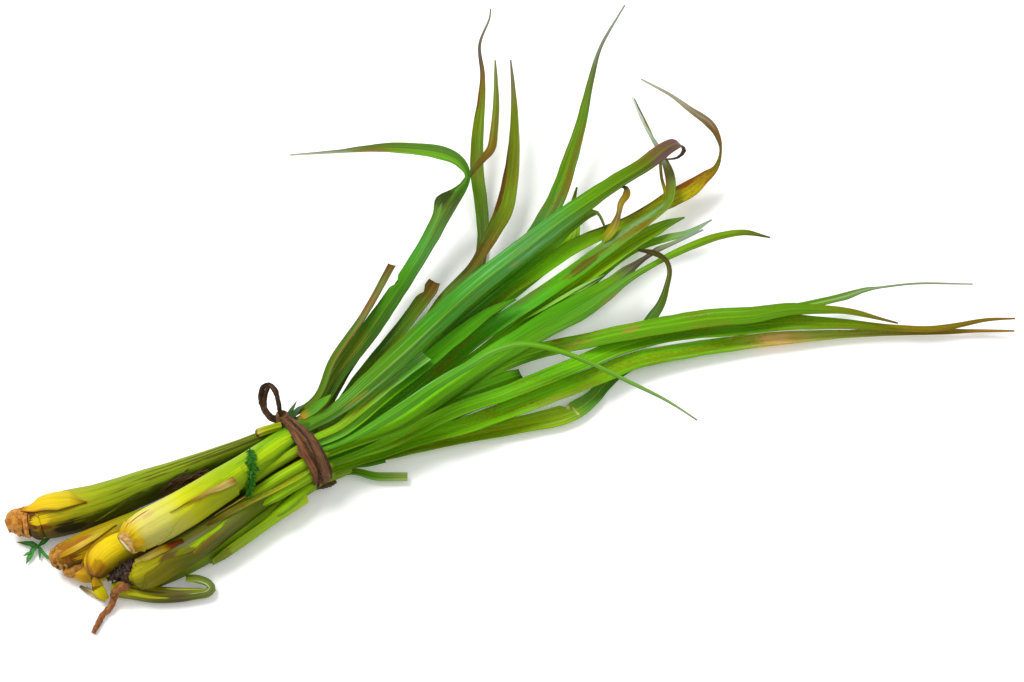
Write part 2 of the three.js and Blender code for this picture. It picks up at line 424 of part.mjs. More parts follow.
const twigRing = oval(6);
for (const [name, [stem, ...twigs]] of Object.entries(sprigs)) {
  const whole = addAll(sweep(stem, twigRing, STALK_STEPS), twigs, twigRing, STALK_STEPS);
  addPiece(name, cutAll(whole, taken), 'sprig');
}

addPiece('tie', tie, 'tie');

export default bunch;
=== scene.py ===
import math
import bpy
import numpy as np
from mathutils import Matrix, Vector, noise


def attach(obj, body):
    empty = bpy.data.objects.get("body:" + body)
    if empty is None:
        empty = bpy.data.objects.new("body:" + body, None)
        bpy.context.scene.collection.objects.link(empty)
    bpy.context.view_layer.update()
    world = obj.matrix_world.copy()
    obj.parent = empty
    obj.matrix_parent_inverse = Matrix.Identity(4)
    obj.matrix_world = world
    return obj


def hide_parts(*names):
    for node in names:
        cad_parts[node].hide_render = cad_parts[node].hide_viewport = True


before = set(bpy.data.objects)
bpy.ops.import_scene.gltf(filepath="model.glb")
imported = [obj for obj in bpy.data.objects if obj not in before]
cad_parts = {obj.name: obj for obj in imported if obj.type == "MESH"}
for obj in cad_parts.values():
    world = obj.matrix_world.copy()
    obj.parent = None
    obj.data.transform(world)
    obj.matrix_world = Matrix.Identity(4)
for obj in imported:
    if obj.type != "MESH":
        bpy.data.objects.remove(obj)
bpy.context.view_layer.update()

# The camera stands at the near side, a little towards the bulbs, and looks down on the bunch as it
# lies on a table. The frame takes in the whole length, with the bulbs at the lower left.
LOOKED_AT = Vector((0.13013, 0.01356, 0))
camera = bpy.data.objects.new("camera", bpy.data.cameras.new("camera"))
camera.data.lens = 85
camera.data.sensor_width = 36
camera.location = (-0.27768, -0.63908, 0.98501)
camera.rotation_euler = (LOOKED_AT - camera.location).to_track_quat("-Z", "Y").to_euler()
bpy.context.collection.objects.link(camera)
bpy.context.scene.camera = camera
bpy.context.scene.view_settings.view_transform = "Standard"


# The resting surface: a plain pale board, matt and slightly uneven in tone, on which the bunch lies
# loose. Soft white light surrounds it, with a broad lamp above the far side and a weaker one above
# the near side.
class Wire:
    """A shader value with arithmetic: operators add Math nodes, and node() adds any other node."""

    def __init__(self, tree, socket=None):
        self.tree = tree
        self.socket = socket

    def node(self, kind, settings, values, out=0):
        made = self.tree.nodes.new(kind)
        for key, value in settings.items():
            if key == "stops":
                bar = made.color_ramp.elements
                while len(bar) < len(value):
                    bar.new(0.5)
                for element, (share, colour) in zip(bar, value):
                    element.position = share
                    element.color = paint(colour)
            else:
                setattr(made, key, value)
        for key, value in values.items():
            if isinstance(value, Wire):
                self.tree.links.new(value.socket, made.inputs[key])
            else:
                made.inputs[key].default_value = value
        return Wire(self.tree, made.outputs[out])

    def math(self, operation, first, second=0.0):
        return self.node("ShaderNodeMath", {"operation": operation}, {0: first, 1: second})

    def __add__(self, other):
        return self.math("ADD", self, other)

    def __sub__(self, other):
        return self.math("SUBTRACT", self, other)

    def __rsub__(self, other):
        return self.math("SUBTRACT", other, self)

    def __mul__(self, other):
        return self.math("MULTIPLY", self, other)

    __radd__ = __add__
    __rmul__ = __mul__

    def ease(self, low, high):
        return self.node("ShaderNodeMapRange", {"interpolation_type": "SMOOTHSTEP"},
                         {"Value": self, "From Min": low, "From Max": high})

    def mix(self, colour, share):
        return self.node("ShaderNodeMix", {"data_type": "RGBA"}, {0: share, 6: self, 7: colour}, 2)

    def scaled(self, factor):
        return self.node("ShaderNodeVectorMath", {"operation": "SCALE"}, {0: self, 3: factor})

    def grain(self, x, y, z, detail):
        place = self.node("ShaderNodeCombineXYZ", {}, {0: x, 1: y, 2: z})
        return self.node("ShaderNodeTexNoise", {}, {"Vector": place, "Scale": 1.0, "Detail": detail})

    def ramp(self, stops):
        return self.node("ShaderNodeValToRGB", {"stops": stops}, {0: self})


def paint(code):
    """A colour code such as #4a6a20 as the linear colour that Blender's sockets hold."""
    parts = [int(code[k:k + 2], 16) / 255 for k in (1, 3, 5)]
    return (*[p / 12.92 if p < 0.04045 else ((p + 0.055) / 1.055) ** 2.4 for p in parts], 1)


def new_material(name):
    """A material with its Principled shader and the two UV values: across and along the piece."""
    material = bpy.data.materials.new(name)
    material.use_nodes = True
    tree = material.node_tree
    shader = tree.nodes["Principled BSDF"]
    uv = Wire(tree).node("ShaderNodeUVMap", {"uv_map": "UVMap"}, {})
    across = uv.node("ShaderNodeSeparateXYZ", {}, {0: uv}, 0)
    along = uv.node("ShaderNodeSeparateXYZ", {}, {0: uv}, 1)
    return material, tree, shader, across, along


def dress(tree, shader, colour, roughness, height, depth, strength):
    """Give a shader its colour, its roughness, and a bump of that depth in metres."""
    tree.links.new(colour.socket, shader.inputs["Base Color"])
    tree.links.new(roughness.socket, shader.inputs["Roughness"])
    bump = height.node("ShaderNodeBump", {}, {"Height": height, "Distance": depth, "Strength": strength})
    tree.links.new(bump.socket, shader.inputs["Normal"])


FLOOR_HALF = 4
FLOOR_DROP = 0.0004
floor_mesh = bpy.data.meshes.new("floor")
floor_corners = [(x * FLOOR_HALF, y * FLOOR_HALF, -FLOOR_DROP)
                 for x, y in ((-1, -1), (1, -1), (1, 1), (-1, 1))]
floor_mesh.from_pydata(floor_corners, [], [(0, 1, 2, 3)])
floor = bpy.data.objects.new("floor", floor_mesh)
bpy.context.collection.objects.link(floor)
board, tree, shader, across, along = new_material("board")
floor_mesh.materials.append(board)
place = across.node("ShaderNodeNewGeometry", {}, {}, 0)
dust = across.node("ShaderNodeTexNoise", {}, {"Vector": place, "Scale": 9.0, "Detail": 3.0})
dress(tree, shader, dust.ramp([(0.0, "#f4f4f2"), (1.0, "#fbfbfa")]), dust * 0.1 + 0.7, dust,
      depth=0.0002, strength=0.1)
WHITE = (1, 1, 1, 1)
shader.inputs["Emission Color"].default_value = WHITE
shader.inputs["Emission Strength"].default_value = 0.14

world = bpy.data.worlds.new("studio")
bpy.context.scene.world = world
world.use_nodes = True
sky = world.node_tree.nodes["Background"]
sky.inputs["Color"].default_value = WHITE
sky.inputs["Strength"].default_value = 0.63
LIT = Vector((0.1, 0, 0))
for lamp_name, spot, size, power in (
        ("key", (-0.35, 0.75, 1.35), 0.8, 21.5), ("fill", (0.6, -1.2, 1.5), 1.0, 5.5)):
    lamp = bpy.data.objects.new(lamp_name, bpy.data.lights.new(lamp_name, "AREA"))
    lamp.data.size = size
    lamp.data.energy = power
    lamp.location = spot
    lamp.rotation_euler = (LIT - lamp.location).to_track_quat("-Z", "Y").to_euler()
    bpy.context.collection.objects.link(lamp)

# Stalks: firm white-green stems of tightly rolled sheaths with a swollen base. Each is a closed
# sweep through places [x, y, z, width, height] in millimetres, from the root end up, and its outer
# sheaths are thin skins that grow out of it.
MM = 0.001
NEAREST = 1e-4        # least distance between two places
SIZE_TENSION = 0.3    # tension of the curve through the widths and heights
LOWEST = 0.05         # lowest height of a skin over the resting surface, in millimetres
CREASE = math.radians(48)
END_SPREAD = 0.4      # radius of a cut end in its UV square


def sections(places, step):
    """Rows [x, y, z, width, height] along a smooth curve through the places."""
    table = np.array([[*p, *[0] * (5 - len(p))] for p in places], float)
    table = np.vstack([2 * table[0] - table[1], table, 2 * table[-1] - table[-2]])
    rows = []
    last = len(table) - 3
    for k in range(1, last + 1):
        a, b, c, d = table[k - 1:k + 3]
        gap = [max(np.linalg.norm((q - p)[:3]) ** 0.5, NEAREST) for p, q in ((a, b), (b, c), (c, d))]
        leave = ((b - a) / gap[0] - (c - a) / (gap[0] + gap[1]) + (c - b) / gap[1]) * gap[1]
        arrive = ((c - b) / gap[1] - (d - b) / (gap[1] + gap[2]) + (d - c) / gap[2]) * gap[1]
        leave[3:] = SIZE_TENSION * (c - a)[3:]
        arrive[3:] = SIZE_TENSION * (d - b)[3:]
        count = max(2, round(np.linalg.norm((c - b)[:3]) / step))
        for s in np.arange(count + (k == last)) / count:
            rows.append(b + leave * s + (3 * (c - b) - 2 * leave - arrive) * s ** 2
                        + (2 * (b - c) + leave + arrive) * s ** 3)
    return np.array(rows)


def frames(rows):
    """Each row's sideways and upward directions, and its share of the length."""
    along = np.gradient(rows[:, :3], axis=0)
    along /= np.linalg.norm(along, axis=1)[:, None]
    side = np.zeros_like(along)
    carried = np.cross([0, 0, 1], along[0])
    for k, way in enumerate(along):
        carried = carried - way * (carried @ way)
        carried /= np.linalg.norm(carried)
        side[k] = carried
    steps = np.linalg.norm(np.diff(rows[:, :3], axis=0), axis=1)
    share = np.concatenate([[0], np.cumsum(steps)])
    return side, np.cross(along, side), share / share[-1]


def rough(*at):
    """Smooth noise from -1 to 1 at a place."""
    return noise.noise(Vector(at))


def body(rings, across, along, finish, end_finish=None):
    """A closed skin over rings of an even number of corners, with its UV and material numbers."""
    count, size = rings.shape[:2]
    faces, marks, kinds = [], [], []
    for i in range(count - 1):
        for j in range(size):
            k = (j + 1) % size
            faces.append((i * size + j, (i + 1) * size + j, (i + 1) * size + k, i * size + k))
            marks.append([(across[j], along[i]), (across[j], along[i + 1]),
                          (across[j + 1], along[i + 1]), (across[j + 1], along[i])])
            kinds.append(finish)
    for i, turn in ((0, 1), (count - 1, -1)):
        for j in range(size // 2 - 1):
            loop = [j, j + 1, size - 2 - j, size - 1 - j][::turn]
            faces.append(tuple(i * size + k for k in loop))
            if end_finish is None:
                marks.append([(across[k], along[i]) for k in loop])
            else:
                marks.append([(0.5 + END_SPREAD * math.cos(k * math.tau / size),
                               0.5 + END_SPREAD * math.sin(k * math.tau / size)) for k in loop])
            kinds.append(finish if end_finish is None else end_finish)
    return rings.reshape(-1, 3), faces, marks, kinds


def piece(name, nodes, parts, materials):
    """One object in the row frame made of closed skins, standing for the CAD nodes. Each skin's
    faces are turned outward."""
    corners, faces, marks, kinds = [], [], [], []
    for points, part_faces, part_marks, part_kinds in parts:
        middle = points.mean(axis=0)
        away = points - middle
        volume = sum(np.dot(away[f[0]], np.cross(away[f[k]], away[f[k + 1]]))
                     for f in part_faces for k in range(1, len(f) - 1))
        start = sum(len(c) for c in corners)
        for loop, uv in zip(part_faces, part_marks):
            if volume < 0:
                loop, uv = loop[::-1], uv[::-1]
            faces.append([start + k for k in loop])
            marks.extend(uv)
        corners.append(points)
        kinds.extend(part_kinds)
    mesh = bpy.data.meshes.new(name)
    mesh.from_pydata(np.vstack(corners) * MM, [], faces)
    layer = mesh.uv_layers.new(name="UVMap")
    layer.data.foreach_set("uv", np.array(marks, float).ravel())
    for material in materials:
        mesh.materials.append(material)
    mesh.polygons.foreach_set("material_index", kinds)
    mesh.shade_smooth()
    mesh.set_sharp_from_angle(angle=CREASE)
    made = bpy.data.objects.new(name, mesh)
    bpy.context.collection.objects.link(made)
    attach(made, "root")
    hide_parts(*nodes)


def stem(places, step, sides, bulge=None, shrink=0.0, finish=0, end_finish=None):
    """A round sweep; bulge(share, degrees) moves its skin out, in millimetres."""
    rows = sections(places, step)
    side, over, share = frames(rows)
    angles = np.arange(sides) * math.tau / sides
    rings = np.zeros((len(rows), sides, 3))
    for i, row in enumerate(rows):
        for j, angle in enumerate(angles):
            out = bulge(share[i], math.degrees(angle)) if bulge else 0
            rings[i, j] = (row[:3] + side[i] * (row[3] / 2 + out - shrink) * math.cos(angle)
                           + over[i] * (row[4] / 2 + out - shrink) * math.sin(angle))
    rings[:, :, 2] = np.maximum(rings[:, :, 2], LOWEST)
    return body(rings, np.arange(sides + 1) / sides, share, finish, end_finish)


WAVER = 3             # how far a sheath's edges wander, in degrees
WAVER_PACE = 22


def wrap(places, edges, thick, step, columns, seed, finish=0, own=False):
    """A sheath growing out of a stem's skin; edges are rows of (share, from degrees, to degrees,
    lift at the free edge). Its UV is the stem's, or runs over the sheath where own is set."""
    rows = sections(places, step)
    side, over, share = frames(rows)
    table = np.array(edges, float)
    keep = (share >= table[0, 0]) & (share <= table[-1, 0])
    rows, side, over, share = rows[keep], side[keep], over[keep], share[keep]
    rings = np.zeros((len(rows), 2 * columns, 3))
    for i, row in enumerate(rows):
        start, stop, lift = [np.interp(share[i], table[:, 0], table[:, k]) for k in (1, 2, 3)]
        start += WAVER * rough(share[i] * WAVER_PACE, seed, 0.3)
        stop += WAVER * rough(share[i] * WAVER_PACE, seed, 7.3)
        for j in range(columns):
            angle = math.radians(start + (stop - start) * j / (columns - 1))
            rise = lift * (1 - (1 - j / (columns - 1)) ** 4) + 0.2 * rough(share[i] * 16, j * 0.5, seed)
            for k, out in ((j, rise), (2 * columns - 1 - j, rise - thick)):
                rings[i, k] = (row[:3] + side[i] * (row[3] / 2 + out) * math.cos(angle)
                               + over[i] * (row[4] / 2 + out) * math.sin(angle))
    rings[:, :, 2] = np.maximum(rings[:, :, 2], LOWEST)
    line = np.linspace(0, 1, columns)
    if own:
        share = (share - share[0]) / (share[-1] - share[0])
    else:
        line = (table[:, 1].mean() + (table[:, 2] - table[:, 1]).mean() * line) / 360
    return body(rings, np.concatenate([line, line[::-1], line[:1]]), share, finish)


def tapered(places):
    """The stem ends in a blunt taper under the tie, where the leaves take over."""
    near, far = places[-3], places[-2]
    ends = [[a + part * (b - a) for a, b in zip(near, far)] for part in (0.35, 0.6)]
    blunt = [[*end[:3], end[3] * size, end[4] * size] for end, size in zip(ends, (0.85, 0.4))]
    return [*places[:-2], *blunt]


# pale grey-green for a blade's waxy streaks: partly their pale bloom, partly a painted sheen
WAX_AND_SHEEN = "#b4c4a0"
RUST = "#7f4c1c"
SHADE = "#241e08"
SKIN_GLOSS = 0.13
STEM_SATURATION = 1.2
BLADE_SATURATION = 1.15


def skin(name, stops, width, length, seed, round_stem=True, marks=(), contrast=0.34, rib=0.0,
         rib_colour="#c2c850", specks=0.0, edge="#4a3a18", edge_share=0.3, shade=(1.0, 1.0), low=0.0,
         free_edge=False):
    """Plant skin: colour stops from root to tip, long streaks and veins, painted light and shade on
    the two halves of a blade's fold, painted shade on a stem's underside and near side, a painted
    sheen over a blade's waxy streaks, and marks (share along, reach, share across, reach, colour,
    strength): stains, and a few painted highlights."""
    material, tree, shader, across, along = new_material(name)
    x = across * width
    z = along * length
    y = across * 0.0
    if round_stem:
        turn = across * math.tau
        x = across.math("COSINE", turn) * (width / math.tau)
        y = across.math("SINE", turn) * (width / math.tau)
    blot = across.grain(x * 0.3, y * 0.3, z * 0.09 + seed, 4.0)
    streak = across.grain(x * 1.6, y * 1.6, z * 0.022 + seed, 3.0)
    vein = across.grain(x * 0.7, y * 0.7, z * 0.012 - seed, 1.0)
    fine = across.grain(x * (5.0 if round_stem else 2.6), y * 5.0, z * 0.06 + seed, 2.0)
    colour = (along + (blot - 0.5) * 0.09 + (streak - 0.5) * 0.1).ramp(stops)
    light = (0.9 if round_stem else 1.0) + (streak - 0.5) * (2.1 * contrast)
    light = light + (vein - 0.5) * (1.8 * contrast)
    light = light + (fine - 0.5) * (contrast if round_stem else 2.2 * contrast)
    # painted light and shade: the two halves of a blade's fold are coloured one darker and the other
    # lighter, as the light falls on them
    half = (across + (blot - 0.5) * 0.05).ease(0.46, 0.54)
    light = light * (half * (shade[1] - shade[0]) + shade[0])
    colour = colour.scaled(light)
    if not round_stem:
        # partly pale waxy streaks and partly a painted sheen, laid over the streaks and veins
        colour = colour.mix(paint(WAX_AND_SHEEN), (streak * 0.6 + vein * 0.6).ease(0.64, 0.86) * 0.32)
    # painted shade: a stem's near side and underside are darkened towards dark brown, by the share low
    if low:
        under = (across + (blot - 0.5) * 0.06).ease(0.32, 0.47) * (1.0 - across.ease(0.74, 0.9))
        colour = colour.mix(colour.scaled(0.3).mix(paint(SHADE), 0.35), under * low)
    for share, reach, where, spread, stain, strength in marks:
        off = (along - share) * (1 / reach)
        out = (across - where) * (1 / spread)
        mask = (1.0 - off * off - out * out + (blot - 0.5) * 2.2 + (streak - 0.5) * 2.6).ease(0.1, 0.7)
        colour = colour.mix(paint(stain), mask * strength)
    if rib:
        middle = across.math("ABSOLUTE", across - 0.5) * width
        colour = colour.mix(paint(rib_colour), middle.ease(0.8, 0.15) * (streak + blot) * rib)
    if edge_share and not round_stem:
        inside = (1.0 - across) if free_edge else across.math("MINIMUM", across, 1.0 - across)
        inside = inside * width + (blot - 0.5) * 0.8
        colour = colour.mix(paint(edge), inside.ease(2.6 if free_edge else 0.45, 0.05) * edge_share)
    if specks:
        spot = across.grain(x * 2.4, y * 2.4, z * 0.45 + seed, 4.0)
        patch = across.grain(x * 0.1, y * 0.1, z * 0.03 + seed, 2.0)
        rust = (spot + patch * 0.7 - 0.35).ease(0.53, 0.62)
        colour = colour.mix(paint(RUST), rust * specks)
    saturation = STEM_SATURATION if round_stem else BLADE_SATURATION
    colour = colour.node("ShaderNodeHueSaturation", {}, {"Saturation": saturation, "Color": colour})
    shader.inputs["Specular IOR Level"].default_value = SKIN_GLOSS
    dress(tree, shader, colour, blot * 0.25 + fine * 0.15 + 0.28,
          vein * 0.8 + streak * 0.9 + fine * 0.7, depth=0.00035, strength=0.8)
    return material


def cork(name, dark, mid, pale):
    """The crusted skin of a root end, coloured by place."""
    material, tree, shader, across, along = new_material(name)
    place = across.node("ShaderNodeNewGeometry", {}, {}, 0).scaled(1 / MM)
    lump = place.node("ShaderNodeTexNoise", {}, {"Vector": place, "Scale": 0.5, "Detail": 5.0})
    crust = place.node("ShaderNodeTexNoise", {}, {"Vector": place, "Scale": 1.8, "Detail": 4.0})
    colour = (lump * 0.7 + crust * 0.4 - 0.05).ramp([(0.28, dark), (0.5, mid), (0.72, pale)])
    dress(tree, shader, colour, crust * 0.3 + 0.5, lump + crust * 0.8, depth=0.0008, strength=0.9)
    return material


def knobby(end, size, rings=()):
    """Lumps over the root end up to that share, and wrinkled ring grooves along the stem."""
    def bulge(share, degrees):
        angle = math.radians(degrees)
        lump = size * rough(share * 60, math.cos(angle) * 1.6, math.sin(angle) * 1.6)
        lump = lump * max(0, 1 - share / end)
        ridge = sum(0.45 * math.exp(-((share - r - 0.008 * math.cos(angle + r * 90)) / 0.006) ** 2)
                    - 0.5 * math.exp(-((share - r - 0.01 - 0.008 * math.cos(angle + r * 90)) / 0.004) ** 2)
                    for r in rings)
        rib = 0.1 * math.sin(angle * 11 + share * 3) * min(1, share * 6)
        return lump + ridge + rib
    return bulge


def knob(places, seed, size=0.9, finish=2):
    """A lumpy cork over the first places of a stem, closing in on the stem at its upper edge."""
    def bulge(share, degrees):
        angle = math.radians(degrees)
        lumps = rough(share * 9, math.cos(angle) * 2 + seed, math.sin(angle) * 2)
        small = rough(share * 30, math.cos(angle) * 6 + seed, math.sin(angle) * 6)
        return 0.5 + size * lumps + size * 0.5 * small - 1.6 * share ** 6
    return stem(places, step=0.8, sides=44, bulge=bulge, shrink=0.5, finish=finish)


FOLD = 0.24           # rise of a blade's edges over its midrib, as a share of half its width


def blade(places, step=2.2, columns=11, rib=0.7, edge=0.34, ripple=0.35, nicks=(), seed=0, finish=0):
    """A thin channelled blade through places [x, y, z, width, roll], with a thicker midrib; nicks
    are (share along, side, spread, depth)."""
    rows = sections(places, step)
    side, over, share = frames(rows)
    length = np.linalg.norm(np.diff(rows[:, :3], axis=0), axis=1).sum()
    rings = np.zeros((len(rows), 2 * columns, 3))
    for i, row in enumerate(rows):
        half = row[3] / 2
        roll = math.radians(row[4])
        run = share[i] * length
        for j in range(columns):
            across = 2 * j / (columns - 1) - 1
            reach = half * (1 + 0.05 * rough(run * 0.12, seed, 2.0 * (across > 0)))
            for where, far, spread, depth in nicks:
                if across * far > 0:
                    reach *= 1 - depth * math.exp(-((share[i] - where) / spread) ** 2)
            rise = FOLD * half / 2 * (2 * abs(across) - 1)
            wave = rough(run * 0.09, seed + 3.0 * (across > 0), 5.5)
            rise += ripple * across * across * wave * min(1, half / 3)
            thick = edge + (rib - edge) * max(0, 1 - abs(across) * 2.2)
            for k, up in ((j, rise + thick / 2), (2 * columns - 1 - j, rise - thick / 2)):
                flat = reach * across
                rings[i, k] = (row[:3] + side[i] * (flat * math.cos(roll) - up * math.sin(roll))
                               + over[i] * (flat * math.sin(roll) + up * math.cos(roll)))
    rings[:, :, 2] = np.maximum(rings[:, :, 2], LOWEST)
    line = np.linspace(0, 1, columns)
    return body(rings, np.concatenate([line, line[::-1], [0]]), share, finish)


# The far stalk, with the largest bulb: a corky root knob behind two wrinkled folds, a yellow scale
# with a brown edge that ends in a point, and thin dark brown dried scraps in the gap beside the top
# stalk, painted near black for the shade in that gap.
stalk_1 = [[-141, 40.6, 9, 6, 6], [-137, 40, 9.3, 12.5, 12.5], [-131, 37.6, 9.4, 15, 14.5],
           [-127.5, 36, 9.5, 17.5, 16.5], [-122, 34.2, 10, 22.2, 20.8], [-112, 31.4, 10.2, 23, 21],
           [-97, 27.6, 10.4, 20.8, 20], [-78, 25.4, 11, 17.4, 17], [-56, 22, 12, 14, 15],
           [-38, 18.6, 13.5, 12, 15], [-18, 15, 15, 10.6, 16], [0, 13.6, 16, 11, 16],
           [14, 17, 15.5, 9, 15], [26, 22.5, 15.2, 6.5, 12.5]]
far_skin = skin("far_stalk_skin",
                [(0.0, "#a8690f"), (0.05, "#a5661a"), (0.07, "#6a3a10"), (0.095, "#b8921c"),
                 (0.14, "#b8a418"), (0.22, "#a4a418"), (0.34, "#8ca014"), (0.6, "#7c9414"),
                 (0.8, "#6a8018"), (1.0, "#5c701c")], width=60, length=175,
                marks=[(0.08, 0.016, 0.33, 0.09, "#5a2a08", 0.9),
                       (0.112, 0.04, 0.35, 0.04, "#d9bc30", 0.9),
                       (0.12, 0.025, 0.42, 0.03, "#742e0c", 0.9),
                       (0.19, 0.06, 0.46, 0.07, "#1c1606", 0.95), (0.4, 0.25, 0.43, 0.05, "#2c340a", 0.8),
                       (0.6, 0.3, 0.26, 0.014, "#4c4a14", 0.9), (0.72, 0.3, 0.21, 0.014, "#5c3c1c", 0.8),
                       (0.8, 0.2, 0.3, 0.025, "#403c14", 0.8), (0.5, 0.25, 0.3, 0.012, "#5f5c20", 0.8)],
                low=1.0, contrast=0.36, seed=1)
far_scale = skin("far_scale_skin",
                 [(0.0, "#a86a12"), (0.12, "#dba820"), (0.45, "#d6b81c"), (0.75, "#c4b01c"),
                  (1.0, "#7a4c14")], width=20, length=30, round_stem=False, edge="#4c2206",
                 edge_share=0.97, free_edge=True, seed=2)
far_knob = cork("far_knob_cork", "#5a2a06", "#b87412", "#dc9c28")
# dark brown dried scraps, painted near black for the shade in the gap where they lie
dried = skin("dried_scrap_skin", [(0.0, "#160c06"), (0.3, "#3a2414"), (0.6, "#241409"), (1.0, "#4a2814")],
             width=5, length=14, round_stem=False, contrast=0.9, edge="#6a4a2c", edge_share=0.5, seed=3)
stump = skin("cut_stump_skin",
             [(0.0, "#4a2c14"), (0.06, "#8a6a34"), (0.12, "#b8b464"), (0.4, "#a8b048"), (1.0, "#8ca02c")],
             width=14, length=16, seed=4)
SCRAPS = 8
scraps = []
for k in range(SCRAPS):
    place = Vector((-66 + 2.2 * k + 3.0 * rough(k, 1.5, 3.0),
                    11.4 - 0.2 * k + 4.0 * rough(k * 1.3, 6.5, 2.0),
                    21 + 0.1 * k + 2.4 * rough(k * 1.7, 2.5, 9.0)))
    way = Vector((7.5 + 3 * rough(k, 5.5, 1.0), 3 * rough(k, 0.5, 0.5), 2.4 * rough(k, 8.5, 4.5)))
    roll = 90 * rough(k, 3.3, 3.7)
    scraps.append(blade([[*(place - way), 0.4, roll], [*(place - way * 0.3), 2.2, roll + 30],
                         [*(place + way * 0.3), 1.6, roll - 20], [*(place + way), 0.4, roll + 70]],
                        step=0.7, columns=7, rib=0.4, edge=0.3, ripple=2.4,
                        nicks=[(0.6, 1, 0.06, 0.6), (0.35, -1, 0.05, 0.6)], seed=k, finish=3))
piece("far_stalk", ["stalk_1"],
      [stem(tapered(stalk_1), step=1.2, sides=48, bulge=knobby(end=0.09, size=0.9, rings=(0.056, 0.078)),
            shrink=0.35),
       wrap(stalk_1,
            [(0.045, 56, 78, 0.2), (0.075, 40, 94, 0.7), (0.1, 36, 104, 0.9), (0.15, 38, 116, 0.8),
             (0.19, 62, 114, 0.5), (0.215, 96, 112.5, 0.2), (0.235, 110, 112, 0.0)], thick=0.6, step=0.8,
            columns=20, finish=1, seed=3, own=True),
       wrap(stalk_1,
            [(0.24, 170, 180, 0.1), (0.34, 138, 240, 0.3), (0.6, 124, 262, 0.35), (0.8, 120, 250, 0.3),
             (0.92, 160, 200, 0.1)], thick=0.5, step=2.2, columns=16, seed=4),
       wrap(stalk_1, [(0.05, 96, 190, 0.3), (0.058, 88, 206, 0.9), (0.068, 92, 200, 0.7)], thick=0.7,
            step=0.6, columns=20, finish=2, seed=5),
       wrap(stalk_1,
            [(0.07, 100, 186, 0.2), (0.082, 92, 205, 1.1), (0.092, 96, 204, 1.1), (0.1, 110, 180, 0.2)],
            thick=0.6, step=0.6, columns=24, seed=6),
       knob(stalk_1[:4], seed=0), *scraps,
       stem([[-17.2, 14.2, 25.8, 2.2, 1.8], [-16.4, 13.9, 26, 4.2, 3.6], [-11.3, 12.2, 27.3, 3.9, 3.7],
             [-4.8, 9.7, 28.6, 3.6, 3.4]], step=0.8, sides=24,
            bulge=lambda share, degrees: 0.3 * math.sin(degrees / 10), finish=4)],
      [far_skin, far_scale, far_knob, dried, stump])


# The top stalk, ending in a small pale plug with a brown rim: cream with a thin pink line at the
# bulb, bright green above, and an outer sheath folded over with a dry, squared-off margin.
def cut_face(name, middle, rim):
    """A stem's cut end, with faint growth rings."""
    material, tree, shader, across, along = new_material(name)
    x, y = across - 0.5, along - 0.5
    radius = across.math("SQRT", x * x + y * y)
    blot = across.grain(across * 9.0, along * 9.0, 0.4, 4.0)
    rings = across.math("SINE", radius * 90.0 + blot * 5.0)
    colour = (radius * 2.3 + (blot - 0.5) * 0.5).ramp([(0.0, middle), (0.62, middle), (0.9, rim),
                                                       (1.0, rim)])
    dress(tree, shader, colour.scaled(0.94 + rings * 0.06), blot * 0.3 + 0.45, rings * 0.4 + blot,
          depth=0.0004, strength=0.8)
    return material


def lumpy(size, pace, spread=2, swell=0):
    """Uneven skin for a small stem: the height of its lumps, how many there are along it and round
    it, and an even swelling under them."""
    def bulge(share, degrees):
        angle = math.radians(degrees)
        return swell + size * rough(share * pace, math.cos(angle) * spread, math.sin(angle) * spread)
    return bulge


stalk_2 = [[-100, -11.5, 28, 12, 12], [-98.5, -11, 28, 13.5, 13.5], [-95, -10, 28, 17, 17],
           [-86, -9, 28, 19, 18.6], [-70, -8, 28, 18.5, 17.5], [-49, -5, 27.3, 17, 16],
           [-28, -1, 26, 14.5, 13.5], [-6, 3, 25, 13.5, 11.5], [4, 3.5, 25.5, 13.5, 11],
           [14, 2.2, 27.2, 13.5, 9], [26, 2.2, 28.6, 11.5, 6.5]]
top_skin = skin("top_stalk_skin",
                [(0.0, "#b98f3a"), (0.03, "#d8bf5c"), (0.08, "#dcd484"), (0.16, "#dad682"),
                 (0.28, "#d2d460"), (0.38, "#b6c228"), (0.5, "#9cb80e"), (0.7, "#90ba08"),
                 (0.8, "#7cac10"), (0.88, "#507c14"), (1.0, "#466e18")], width=58, length=131,
                contrast=0.16,
                marks=[(0.085, 0.08, 0.19, 0.013, "#a86a5c", 0.95),
                       (0.13, 0.05, 0.24, 0.02, "#c89a86", 0.5), (0.03, 0.03, 0.42, 0.05, "#c99a1c", 0.8),
                       # the bright lime mark at share 0.62 is a painted highlight along the top of the stalk
                       (0.62, 0.16, 0.31, 0.03, "#b4d414", 0.6), (0.7, 0.18, 0.24, 0.025, "#5f9808", 0.7),
                       (0.72, 0.2, 0.37, 0.025, "#5f8a08", 0.6)], low=0.5, seed=5)
margin_skin = skin("top_margin_skin",
                   [(0.0, "#a89a34"), (0.2, "#94702c"), (0.55, "#a68a54"), (0.85, "#b8a268"),
                    (1.0, "#8a6a34")], width=9, length=45, round_stem=False, edge="#5a3a1c",
                   edge_share=0.9, seed=6)
# the middle of the cut face is coloured paler, as painted light against the shade the face lies in
top_cut = cut_face("top_cut_face", "#fbeebc", "#8a5a24")
plug = [[-100.5, -11.2, 27, 8.6, 11], [-100, -11.1, 27.1, 10.8, 13.2], [-98, -10.9, 27.4, 11.8, 14.4],
        [-96, -10.4, 27.7, 11, 13]]
